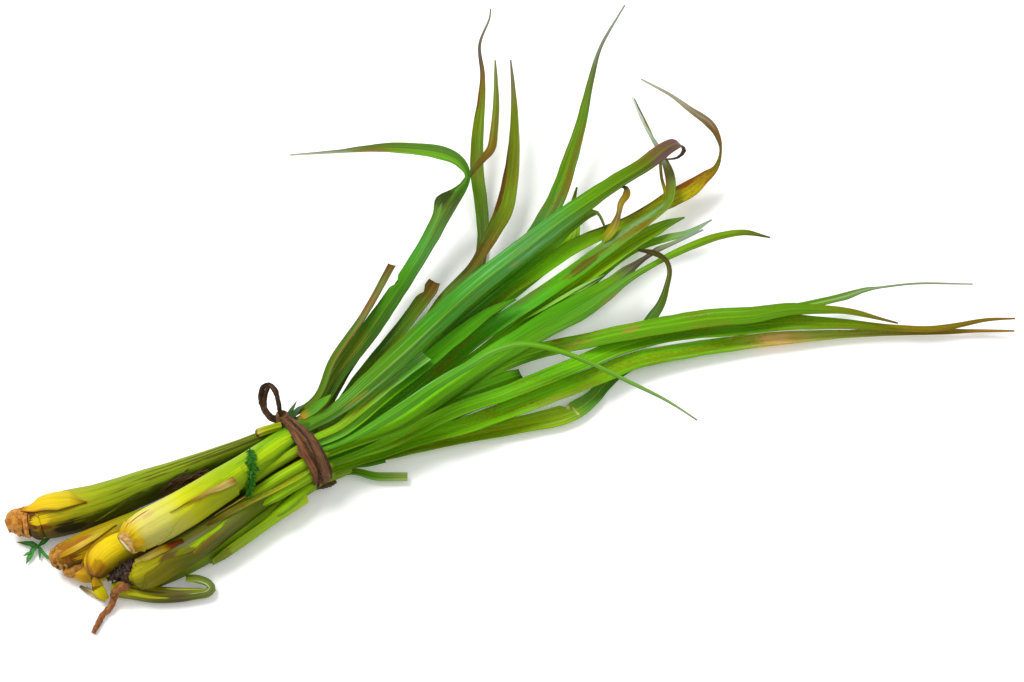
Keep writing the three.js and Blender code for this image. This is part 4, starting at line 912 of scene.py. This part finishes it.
leaf(16, "leaf_bluish_green", 250,
     [(0.0, "#6aa83c"), (0.3, "#5a9028"), (0.45, "#6ca84c"), (0.55, "#4f8a1c"), (0.68, "#6c9c58"),
      (0.8, "#7ab428"), (0.9, "#749c4c"), (1.0, "#98a898")],
     [[20, -9.5, 10.6, 4.5], [63, -7, 11.3, 5], [104, 2, 11, 5.6], [144, 9, 11, 5.7], [180, 17, 11, 5.7],
      [203, 23, 11, 5.3], [216, 23, 12, 4.2], [230, 20, 13, 4.7], [243, 17, 13, 3.7], [258, 18, 13, 0.9]])
leaf(17, "leaf_yellow_green", 240,
     [(0.0, "#86cc3c"), (0.35, "#7cbf4c"), (0.5, "#569632"), (0.65, "#4e9024"), (0.75, "#618b34"),
      (0.81, "#645e48"), (0.86, "#5e4d48"), (0.92, "#80906a"), (1.0, "#91a0a0")],
     [[20, -12.3, 19.2, 4.2], [48, -12.5, 20.3, 6.5], [75, -8, 20.5, 8], [101, -2, 20, 8.1],
      [127, 1, 20, 8.6], [150, 4, 19, 9.2], [171, 5, 19, 8.7], [187, 6, 19, 7.8], [196, 8, 19, 6.2, 30],
      [205, 10, 19, 3.6, 60], [211, 11, 19, 2.6, 60], [218, 12, 19, 3.1, 20], [228, 12, 18, 2.4],
      [248, 12, 17, 0.9]], shade=(0.85, 1.08))
leaf(18, "leaf_green", 270,
     [(0.0, "#78af23"), (0.25, "#5a951f"), (0.4, "#5a8f30"), (0.6, "#5a8c3b"), (0.7, "#628e40"),
      (0.8, "#6a9723"), (0.93, "#6f882d"), (1.0, "#4a3819")],
     [[20, -14.5, 22.4, 4.2], [45, -18, 24, 5.9], [76, -14, 24.5, 6.4], [109, -9, 24, 7],
      [138, -6, 23, 8.1], [160, -5, 22.5, 8.2], [177, -2, 22, 6.7], [191, 1, 22, 4.6],
      [210.5, 2.8, 22, 3.3], [222.5, 2, 23.5, 4.4], [237.5, 0, 25, 4.9], [249.5, -2, 25, 4.6],
      [261.5, -6, 24, 3.8], [273, -13, 20, 0.9]], marks=[(0.64, 0.03, 0.1, 0.3, "#7a6a44", 0.6)],
     shade=(0.79, 1.08))
leaf(19, "leaf_green", 260,
     [(0.0, "#6ea050"), (0.25, "#5f9832"), (0.45, "#6a9c50"), (0.7, "#488028"), (0.78, "#3f6a20"),
      (0.86, "#44581c"), (0.94, "#4a4420"), (1.0, "#3c2c1c")],
     [[20, -12, 4.6, 4], [59, -13, 3, 4.5], [105, -15, 3, 4.6], [140, -16, 3, 5.1], [168, -20, 4, 5.1],
      [185, -21, 6, 5.7], [196, -18, 10, 5.7], [203, -15.5, 14, 4.6], [209, -11, 19, 3.1],
      [214, -6, 23, 2.6], [215, -1, 26, 2.6], [212, 5, 27.5, 3.1], [206, 12, 27, 1.4]])
leaf(20, "leaf_yellow_green", 310,
     [(0.0, "#69a231"), (0.25, "#6fa83c"), (0.5, "#659b30"), (0.65, "#5f9524"), (0.85, "#568712"),
      (0.93, "#6d852e"), (1.0, "#6d5633")],
     [[20, -14.8, 13.8, 4.5], [48, -13.8, 14, 6.5], [73, -10, 14.3, 8], [95, -7, 14.6, 8.6],
      [116, -7, 15, 9.1], [134.5, -10, 15, 9.4], [154.5, -16.3, 15, 9.6], [175, -22.6, 15, 10.4],
      [196, -29.8, 15, 11], [218, -38, 15, 11.6], [236, -47.2, 15, 10.6], [256, -55, 15, 8.2],
      [269, -63, 15, 5.7], [281, -71, 14, 4.1], [300, -89, 11, 1]],
     marks=[(0.47, 0.03, 0.55, 0.3, "#8a9048", 0.6), (0.56, 0.02, 0.7, 0.2, "#9a8448", 0.6),
            (0.44, 0.015, 0.9, 0.1, "#7a4c24", 0.7)], specks=0.5, rib=0.08, shade=(0.88, 1.07))
leaf(21, "leaf_green", 365,
     [(0.0, "#71a23f"), (0.3, "#6fae43"), (0.6, "#6baa35"), (0.75, "#6b9a26"), (0.85, "#807932"),
      (0.93, "#74621c"), (1.0, "#866935")],
     [[20, -17.6, 17.2, 4.5], [35, -20, 18, 7.5], [78, -21, 18, 8.9], [100, -24, 17, 9],
      [123, -25, 15, 9.6], [149, -26, 13, 9.6], [167, -26, 11, 9.7], [182, -28, 10, 10.2],
      [202, -34, 10, 11.3], [229, -47, 10, 11.3], [252, -58, 10, 10.3], [276, -73, 9, 6.7],
      [297, -87, 7, 4.1], [316, -99, 6, 4.1], [343, -110, 7.5, 2.1], [355, -117, 8, 0.9]],
     strips=[[[230, -45, 10.6, 4], [240, -46, 11.2, 4.4], [254, -50.5, 11.4, 5.2], [270, -55.5, 11, 6.2],
              [287, -60, 10.5, 5.7], [299, -62, 10.5, 3.6], [307, -65, 10.5, 1.6], [324, -73, 11, 1.6],
              [349, -89, 11, 0.9]]],
     strip_stops=[(0.0, "#5c9024"), (0.35, "#628a2c"), (0.7, "#7a8a6a"), (1.0, "#94907c")],
     marks=[(0.55, 0.02, 0.95, 0.2, "#6a6a2c", 0.6)], specks=0.4, rib=0.15, shade=(0.85, 1.08))
leaf(22, "leaf_green", 360,
     [(0.0, "#7eb440"), (0.25, "#75b040"), (0.45, "#73ac3c"), (0.6, "#79ac40"), (0.655, "#bfac61"),
      (0.69, "#c4b06c"), (0.73, "#a5b458"), (0.8, "#9ca450"), (0.92, "#927e39"), (1.0, "#966d31")],
     [[20, -18, 12.2, 4.5], [33, -19.5, 12, 7], [54, -22, 12, 8.9], [75, -27, 12, 9.9],
      [108, -31, 11, 11], [131, -33, 10, 11.1], [155, -35, 9, 11.2], [173, -36, 8, 10.7],
      [189.5, -40, 6.5, 10.4], [217.5, -49.4, 5, 9.8], [241.5, -59.2, 4.5, 8.8], [283.5, -79.8, 3.5, 5],
      [322, -102, 3, 3.6], [335, -110, 3.5, 2.1], [352, -121, 4, 0.9]],
     marks=[(0.665, 0.032, 0.5, 0.4, "#e8c088", 0.85), (0.35, 0.06, 0.2, 0.2, "#8a7a3c", 0.5)], rib=0.22,
     rib_colour="#a8b050", specks=0.45, shade=(0.91, 1.07))
leaf(23, "leaf_yellow_green", 265,
     [(0.0, "#8a9c4c"), (0.2, "#80a63a"), (0.45, "#82a63c"), (0.6, "#90ae48"), (0.66, "#64984a"),
      (0.8, "#5f9440"), (1.0, "#58903c")],
     [[20, -15.6, 7, 4.5], [45, -19.3, 5.3, 8], [75, -27.6, 4.3, 9], [104.5, -36.6, 3.3, 10.5],
      [124, -42, 2.8, 12], [135, -42.8, 2.8, 10.5], [144, -41, 2.6, 8.4], [152.5, -37.5, 2.2, 7.6],
      [163, -34, 2, 7.8], [176, -33, 2, 7.6], [192, -36, 1.8, 6], [206, -41, 1.4, 3]],
     nicks=[(0.62, 1, 0.006, 0.45)],
     marks=[(0.622, 0.006, 0.9, 0.3, "#d8c8a0", 0.95), (0.634, 0.004, 0.45, 0.4, "#c8c480", 0.8),
            (0.3, 0.2, 0.97, 0.1, "#7a5a2c", 0.6)], rib=0.35, rib_colour="#c0cc58", specks=0.35,
     shade=(0.92, 1.07))
leaf(24, "leaf_yellow_green", 215,
     [(0.0, "#609a3d"), (0.25, "#4d8629"), (0.4, "#5d9641"), (0.5, "#6ea549"), (0.65, "#6a9d39"),
      (0.8, "#6e9a49"), (0.93, "#87a56a"), (1.0, "#a5ad93")],
     [[20, -13, 25.4, 3.2], [34, -14.5, 29, 5], [47, -15, 32, 6.4], [69, -12, 33, 5.9], [91, -10, 33, 5],
      [106, -9, 33, 4.5], [118, -12, 33, 4], [128, -19, 32, 3.5], [142, -35, 29, 3], [154, -53, 25, 2.5],
      [167, -72, 20, 1.7], [175, -88, 16, 0.9]], shade=(0.77, 1.08))
leaf(25, "leaf_yellow_green", 100,
     [(0.0, "#9ecf46"), (0.3, "#9cd846"), (0.5, "#8bc141"), (0.75, "#8ecf5d"), (0.95, "#84c64f"),
      (1.0, "#4a672a")],
     [[20, -10.5, 7.4, 4.5], [51, -8, 7.8, 7], [75, -7, 8.3, 8], [98, -10, 8.6, 8.6],
      [119, -13, 8.8, 9.1]], nicks=[(1.0, 1, 0.03, 0.3), (0.97, -1, 0.02, 0.4)], shade=(0.77, 1.14))
leaf(26, "leaf_green", 30, [(0.0, "#5a8a2c"), (0.6, "#66943a"), (1.0, "#8a9a5a")],
     [[17, -17, 5.2, 4], [27, -25.4, 3.6, 4.9], [40, -33.4, 3, 4.9]])
leaf(27, "leaf_green", 20, [(0.0, "#447a1c"), (0.6, "#4c8428"), (1.0, "#4a7a2c")],
     [[18, -17, 9.6, 3.6], [25, -19.5, 9.2, 4.3], [34, -22, 9, 4.4]])

# Loose sheaths: papery outer leaf bases that have come away. A cut one stands by the thin stalk, a
# bent one is folded back on itself by the bulbs with a root at its foot, and a dry scrap of scale
# lies on the surface.
cut_skin = skin("cut_sheath_skin", [(0.0, "#748a30"), (0.2, "#7f9434"), (0.6, "#8cac3a"), (1.0, "#9cb44c")],
                width=20, length=60, marks=[(0.1, 0.1, 0.3, 0.5, "#5a5a1c", 0.6)], seed=150)
piece("cut_outer_sheath", ["cut_sheath"],
      [stem([[-66, -29.6, 7.5, 2.2, 4], [-58, -28.6, 8, 2.6, 8], [-45, -26.4, 8, 2.8, 8.5],
             [-30, -24, 8.2, 2.8, 8], [-18, -22.6, 8.6, 2.8, 8], [-10, -21.8, 8.8, 3, 8]], step=1.8,
            sides=24, shrink=0.1)], [cut_skin])
bent_skin = skin("bent_sheath_skin",
                 [(0.0, "#a0981c"), (0.15, "#98981c"), (0.35, "#6a6a28"), (0.52, "#5f5a38"),
                  (0.66, "#747c38"), (0.8, "#8c9c5c"), (1.0, "#7c8c3c")], width=24, length=70,
                 marks=[(0.3, 0.25, 0.3, 0.03, "#4c3f24", 0.9), (0.25, 0.2, 0.4, 0.03, "#b4b43c", 0.8),
                        (0.75, 0.2, 0.35, 0.03, "#c8d4a8", 0.9), (0.6, 0.2, 0.2, 0.03, "#a4ac5c", 0.8)],
                 low=0.4, contrast=0.4, seed=152)
piece("bent_outer_sheath", ["bent_sheath"],
      [stem([[-113, -15.6, 6, 5, 5], [-109.5, -18, 5.5, 9, 9.4], [-104, -22.6, 4.8, 8.8, 9],
             [-97, -28.6, 4.3, 8.8, 8.5], [-88, -34.6, 4, 7.5, 7.6], [-80, -38.8, 3.8, 5.5, 7],
             [-75.5, -41.2, 4, 3.4, 6.6], [-72.6, -40.8, 4.6, 2.6, 6.6], [-72.6, -37.8, 5.6, 2.6, 6.6],
             [-76, -34, 7, 3, 6.6], [-81, -31, 8, 2.4, 6]], step=1.4, sides=28,
            bulge=lambda share, degrees: 0.25 * math.sin(math.radians(degrees) * 5 + share * 6),
            shrink=0.3),
       stem([[-109, -19, 5.5, 3.2, 3.2], [-113.5, -19.8, 4, 2.8, 2.6], [-117, -22.5, 2.2, 2.6, 2.4],
             [-122, -24.3, 1.5, 2.4, 2.2], [-125.6, -26.6, 1.4, 2.2, 2], [-130.4, -30.6, 1.2, 1.8, 1.6]],
            step=1.0, sides=18, bulge=lumpy(size=0.6, pace=14, spread=1, swell=0.35), finish=1)],
      [bent_skin, root_cork])
scrap_skin = skin("dry_scrap_skin",
                  [(0.0, "#5a4a34"), (0.35, "#8a7a5a"), (0.6, "#c9b890"), (1.0, "#6a4a24")], width=6,
                  length=14, contrast=0.5, seed=155)
piece("scale_scrap", ["dry_scrap"],
      [stem([[-124.5, -4, 1.1, 1.4, 1.2], [-122.5, -8, 1.2, 2.8, 1.6], [-120, -13, 1.2, 2.8, 1.6],
             [-118.5, -16.5, 1, 1.6, 1.2]], step=1.0, sides=18,
            bulge=crumpled(size=0.3, pace=9, seed=0.0))], [scrap_skin])

# Sprigs of another herb, caught in the bunch: a small leaf with pointed lobes on the surface by the
# bulbs, and a dense dark frond hanging over the top stalk, its pointed leaflets set in rows of five
# round a fine stem.
lobed_skin = skin("lobed_sprig_skin", [(0.0, "#3a6a3a"), (0.5, "#4a8a44"), (1.0, "#3a7034")], width=4,
                  length=14, round_stem=False, edge="#2a4a24", rib=0.4, rib_colour="#7aa86a", seed=160)
piece("sprig_by_the_bulbs", ["sprig_by_bulbs"],
      [blade([[-128.6, 14.6, 2.4, 1.2], [-130.9, 18.6, 2.4, 1.5], [-131.9, 26, 2, 1.6]], step=0.8,
             columns=9, rib=0.5, edge=0.3, ripple=0.1),
       blade([[-131.7, 26, 2.2, 1.2], [-134.2, 29.2, 2.1, 3.6], [-136, 31.6, 1.7, 2.4],
              [-139.4, 34.9, 1.2, 0.3]], step=0.6, columns=9, rib=0.4, edge=0.25, ripple=0.4,
             nicks=[(0.4, 1, 0.1, 0.4)], seed=1),
       blade([[-131.9, 27, 2.3, 1.4], [-134.6, 26.4, 2.1, 2.6], [-138, 23.8, 1.5, 2.6],
              [-141, 21.4, 1, 0.3]], step=0.6, columns=9, rib=0.4, edge=0.25, ripple=0.4,
             nicks=[(0.5, -1, 0.08, 0.5)], seed=2),
       blade([[-136, 25.2, 1.9, 1.6], [-138, 25.8, 1.7, 1.6], [-140.2, 26.1, 1.2, 0.3]], step=0.6,
             columns=7, rib=0.4, edge=0.25, ripple=0.2),
       blade([[-131.7, 25.6, 2, 0.9], [-133, 22.8, 1.6, 1.3], [-134.4, 19.9, 1, 0.3]], step=0.6,
             columns=7, rib=0.4, edge=0.25, ripple=0.2),
       blade([[-131.4, 26.8, 2.2, 1.2], [-128.6, 27.4, 2.6, 2.8], [-125.4, 27.6, 3, 1.2]], step=0.6,
             columns=9, rib=0.4, edge=0.25, ripple=0.4)], [lobed_skin])
frond_skin = skin("frond_skin", [(0.0, "#1c4712"), (0.5, "#265f16"), (1.0, "#33741f")], width=3,
                  length=20, round_stem=False, seed=161)
SIDE_SHARE = 0.35     # length of the frond's side branches, as a share of those given
LEAFLET = 3.2         # length of its longest leaflets
branches = [
    (1, [[-26, 2.5, 34.1, 1.4, 1.2], [-28, -3.5, 33.9, 1.8, 1.4], [-30.5, -8, 31.6, 1.8, 1.4],
         [-33, -11, 27.5, 1.6, 1.4], [-36, -13.5, 23, 1.2, 1.2]]),
    (0.6, [[-28, -3.5, 33.9, 1.6, 1.2], [-32.5, -5.5, 33.7, 1.6, 1.2], [-35.5, -6.5, 33.4, 1, 1]]),
    (0.6, [[-30.5, -8, 31.6, 1.6, 1.2], [-26.5, -9.8, 30.6, 1.6, 1.2], [-24, -10.2, 29.8, 1, 1]])]
frond = []
for number, (size, places) in enumerate(branches):
    if number:
        places = [[a + SIDE_SHARE * (b - a) for a, b in zip(places[0], p)] for p in places]
    frond.append(stem([[*p[:3], p[3] * 0.5, p[4] * 0.5] for p in places], step=1.0, sides=8))
    rows = sections(places, 1.4)
    side, over, share = frames(rows)
    ahead = np.gradient(rows[:, :3], axis=0)
    ahead /= np.linalg.norm(ahead, axis=1)[:, None]
    for i, row in enumerate(rows[1:], 1):
        for turn in (-1.5, -0.8, -0.2, 0.7, 1.4):
            way = ahead[i] * (0.9 + 0.4 * rough(i, turn, 6.0)) + side[i] * turn
            way = way + over[i] * 0.6 * rough(i, turn * 3.1, number)
            way = way / np.linalg.norm(way)
            reach = size * LEAFLET * (1 - 0.4 * abs(share[i] - 0.45))
            reach = reach * (1 + 0.6 * rough(i * 1.7, turn, number + 5.0))
            tip = row[:3] + way * reach
            middle = (row[:3] + tip) / 2 + over[i] * 0.5 * rough(i, turn, 8.0)
            frond.append(blade([[*row[:3], 0.4], [*middle, 1.2], [*tip, 0.2]], step=0.6, columns=5,
                               rib=0.22, edge=0.16, ripple=0.2))
piece("sprig_by_the_tie", ["sprig_by_tie"], frond, [frond_skin])


# The tie: brown plant fibre in flat twisted strands, wound twice round the bunch, pinched together
# at a knot on the far side, with one upright bow and a short blunt tail.
def fibre(name, stops):
    material, tree, shader, across, along = new_material(name)
    strand = across.grain(along * 3.0, across * 24.0, 0.3, 3.0)
    tone = across.grain(along * 14.0, across * 3.0, 0.9, 3.0)
    colour = (strand * 0.8 + tone * 0.5 - 0.15).ramp(stops)
    shader.inputs["Specular IOR Level"].default_value = 0.3
    dress(tree, shader, colour, strand * 0.3 + 0.5, strand, depth=0.0006, strength=1.0)
    return material


def strand_round(points, sizes, twist, step, sides, finish=0):
    """A twisted fibre strand through points, ridged along its fibres."""
    places = [[*p, *s] for p, s in zip(points, sizes)]

    def ridges(share, degrees):
        turn = math.radians(degrees) + share * twist
        fine_ridges = 0.2 * math.sin(turn * 5) + 0.14 * math.sin(turn * 9 + 1)
        return fine_ridges + 0.25 * rough(share * 60, turn, 2.0)
    return stem(places, step=step, sides=sides, bulge=ridges, shrink=0.2, finish=finish)


TURN_STEPS = 36
LOWEST_STRAND = 0.9
KNOT_ANGLE, KNOT_SPREAD = 52, 42                 # where the strands are drawn together
TOP_ANGLE, TOP_SPREAD = 118, 48                  # where they spread
TURN_HALF_WIDTH, TURN_HALF_HEIGHT = 20.3, 15.4   # the strands' path round the bunch


def close_to(angle, middle, spread):
    """1 at the middle angle, falling off to both sides; all in degrees."""
    return math.exp(-(((angle - middle + 180) % 360 - 180) / spread) ** 2)


def turns(x_start, x_end, lift, width, thick, finish, sweep, begin, wave, twist):
    """A strand round the bunch, from x_start to x_end, drawn together where the knot sits and
    spread where it crosses the top."""
    points, sizes = [], []
    for k in range(TURN_STEPS + 1):
        angle = begin + sweep * k / TURN_STEPS
        pinch = close_to(angle, KNOT_ANGLE, KNOT_SPREAD)
        x = x_start + (x_end - x_start) * k / TURN_STEPS
        x = x + wave * math.sin(math.radians(angle * 2.3) + x_start)
        broad = close_to(angle, TOP_ANGLE, TOP_SPREAD)
        x += broad * (0.14 * x - 0.2) - pinch * (1.6 + 0.5 * x)
        y = (TURN_HALF_WIDTH + lift) * math.cos(math.radians(angle))
        z = TIE_CENTRE_Z + (TURN_HALF_HEIGHT + lift) * math.sin(math.radians(angle))
        points.append((x, y, max(z, LOWEST_STRAND)))
        sizes.append((width * (1 + 0.4 * broad - 0.3 * pinch), thick))
    return strand_round(points, sizes, twist=twist, step=1.4, sides=20, finish=finish)


# x from and to, lift, width, thickness, fibre, degrees round, first degree, waver and twist
parts = [turns(*strand) for strand in (
    (0, 0, -0.8, 6.8, 1.6, 2, 390, 200, 0.4, 12), (-3.3, -3.0, -0.1, 2.2, 1.6, 0, 390, 200, 0.3, 12),
    (-1.6, -1.8, 0.1, 1.9, 1.5, 1, 380, 150, 0.6, 12), (0.1, 0.3, -0.1, 1.6, 1.4, 1, 390, 170, 0.5, 12),
    (1.7, 1.9, 0.3, 2.2, 1.8, 0, 380, 220, 0.5, 12), (3.4, 3.2, 0.1, 2.2, 1.6, 0, 390, 250, 0.4, 12),
    (4.7, 4.4, -0.1, 1.6, 1.3, 2, 390, 230, 0.4, 12), (-2.8, 3.6, 0.8, 1.7, 1.1, 0, 220, 30, 0.6, 30),
    (3.6, -2.6, 0.85, 1.2, 0.9, 2, 230, -10, 0.6, 26))]
loop = [[-4.6, 14.4, 27], [-7.6, 15.6, 29.5], [-8.4, 21, 32.5], [-7.2, 25.8, 36], [-4, 28, 39.4],
        [-1.4, 27, 41], [-0.4, 23, 39.4], [-1, 19, 35], [-2.6, 15, 28]]
BOW_TOP = 40          # keeps the strand's thickness under the top of the solid bow
last = len(loop) - 1
centre = np.mean(loop, axis=0)
outer_sizes = [(2 + 2.8 * math.sin(math.pi * k / last) ** 0.6, 1.9 + 0.6 * math.sin(k * 1.3))
               for k in range(last + 1)]
parts.append(strand_round([(x, y, min(z, BOW_TOP)) for x, y, z in loop], outer_sizes, twist=3, step=0.7,
                          sides=24, finish=2))
# the second strand: its share of the way from the middle of the bow, and its width
inner = [(0.84, 1.9), (0.8, 1.6), (0.8, 2.3), (0.6, 3.3), (0.66, 3.1), (0.84, 2.2), (0.82, 1.6),
         (0.84, 2.1), (0.86, 1.7)]
parts.append(strand_round([centre + near * (np.array(p) - centre) for (near, _), p in zip(inner, loop)],
                          [(size, 1.7) for _, size in inner], twist=6, step=0.7, sides=18, finish=2))
tail = [[1, -15.6, 5.6, 4, 3], [4.8, -16.8, 5.4, 3.8, 3], [8.2, -17.4, 5, 3.6, 2.8],
        [11.2, -17.6, 4.6, 2.4, 2]]
parts.append(strand_round([(p[0] - 3, *p[1:3]) for p in tail], [(p[3] + 0.4, p[4] + 1) for p in tail],
                          twist=8, step=0.7, sides=24, finish=2))
knot = [(-5.5, 13.2, 27.6), (-3.6, 16.2, 28.9), (-1.2, 16.8, 28.8), (0.2, 14.4, 28.9), (-2.0, 12.9, 28.6),
        (-4.2, 14.8, 27.4)]
parts.append(strand_round(knot, [(2.6, 2)] * len(knot), twist=8, step=0.8, sides=20))
parts.append(blade([[-3.2, -5.8, 29.6, 1.6, 0], [-4.4, -8.6, 29.6, 3.6, 12], [-4.9, -11.6, 28.6, 3.2, 24],
                    [-4.3, -14.8, 27, 0.5, 30]], step=0.6, columns=9, rib=0.5, edge=0.35, ripple=1.2,
                   nicks=[(0.5, 1, 0.1, 0.4), (0.7, -1, 0.08, 0.5)], seed=3, finish=1))
FRAYED_ENDS = 40
for k in range(FRAYED_ENDS):
    angle = math.radians(-160 + 360 / FRAYED_ENDS * k)
    x = (4.5 if k % 2 else -4.2) + 0.4 * rough(k, 0.1, 3.0)
    start = Vector((x, (TURN_HALF_WIDTH + 0.3) * math.cos(angle),
                    max(TIE_CENTRE_Z + (TURN_HALF_HEIGHT + 0.3) * math.sin(angle), LOWEST_STRAND)))
    way = Vector(((1 if k % 2 else -1) * (0.9 + 0.8 * rough(k, 7.0, 7.0)), -1.3 * math.sin(angle),
                  1.3 * math.cos(angle)))
    end = start + way
    end.z = max(end.z, 0.5)
    parts.append(stem([[*start, 0.5, 0.4], [*((start + end) / 2), 0.4, 0.3], [*end, 0.15, 0.12]],
                      step=0.7, sides=6))
piece("fibre_tie", ["tie"], parts, [
    fibre("grey_fibre", [(0.2, "#2a170c"), (0.42, "#5c3c22"), (0.6, "#7e5832"), (0.8, "#967042")]),
    fibre("red_fibre", [(0.2, "#2e1508"), (0.42, "#683a1a"), (0.6, "#90582a"), (0.8, "#a8723e")]),
    fibre("dark_fibre", [(0.2, "#140b06"), (0.42, "#362212"), (0.6, "#563a20"), (0.8, "#70502e")])])
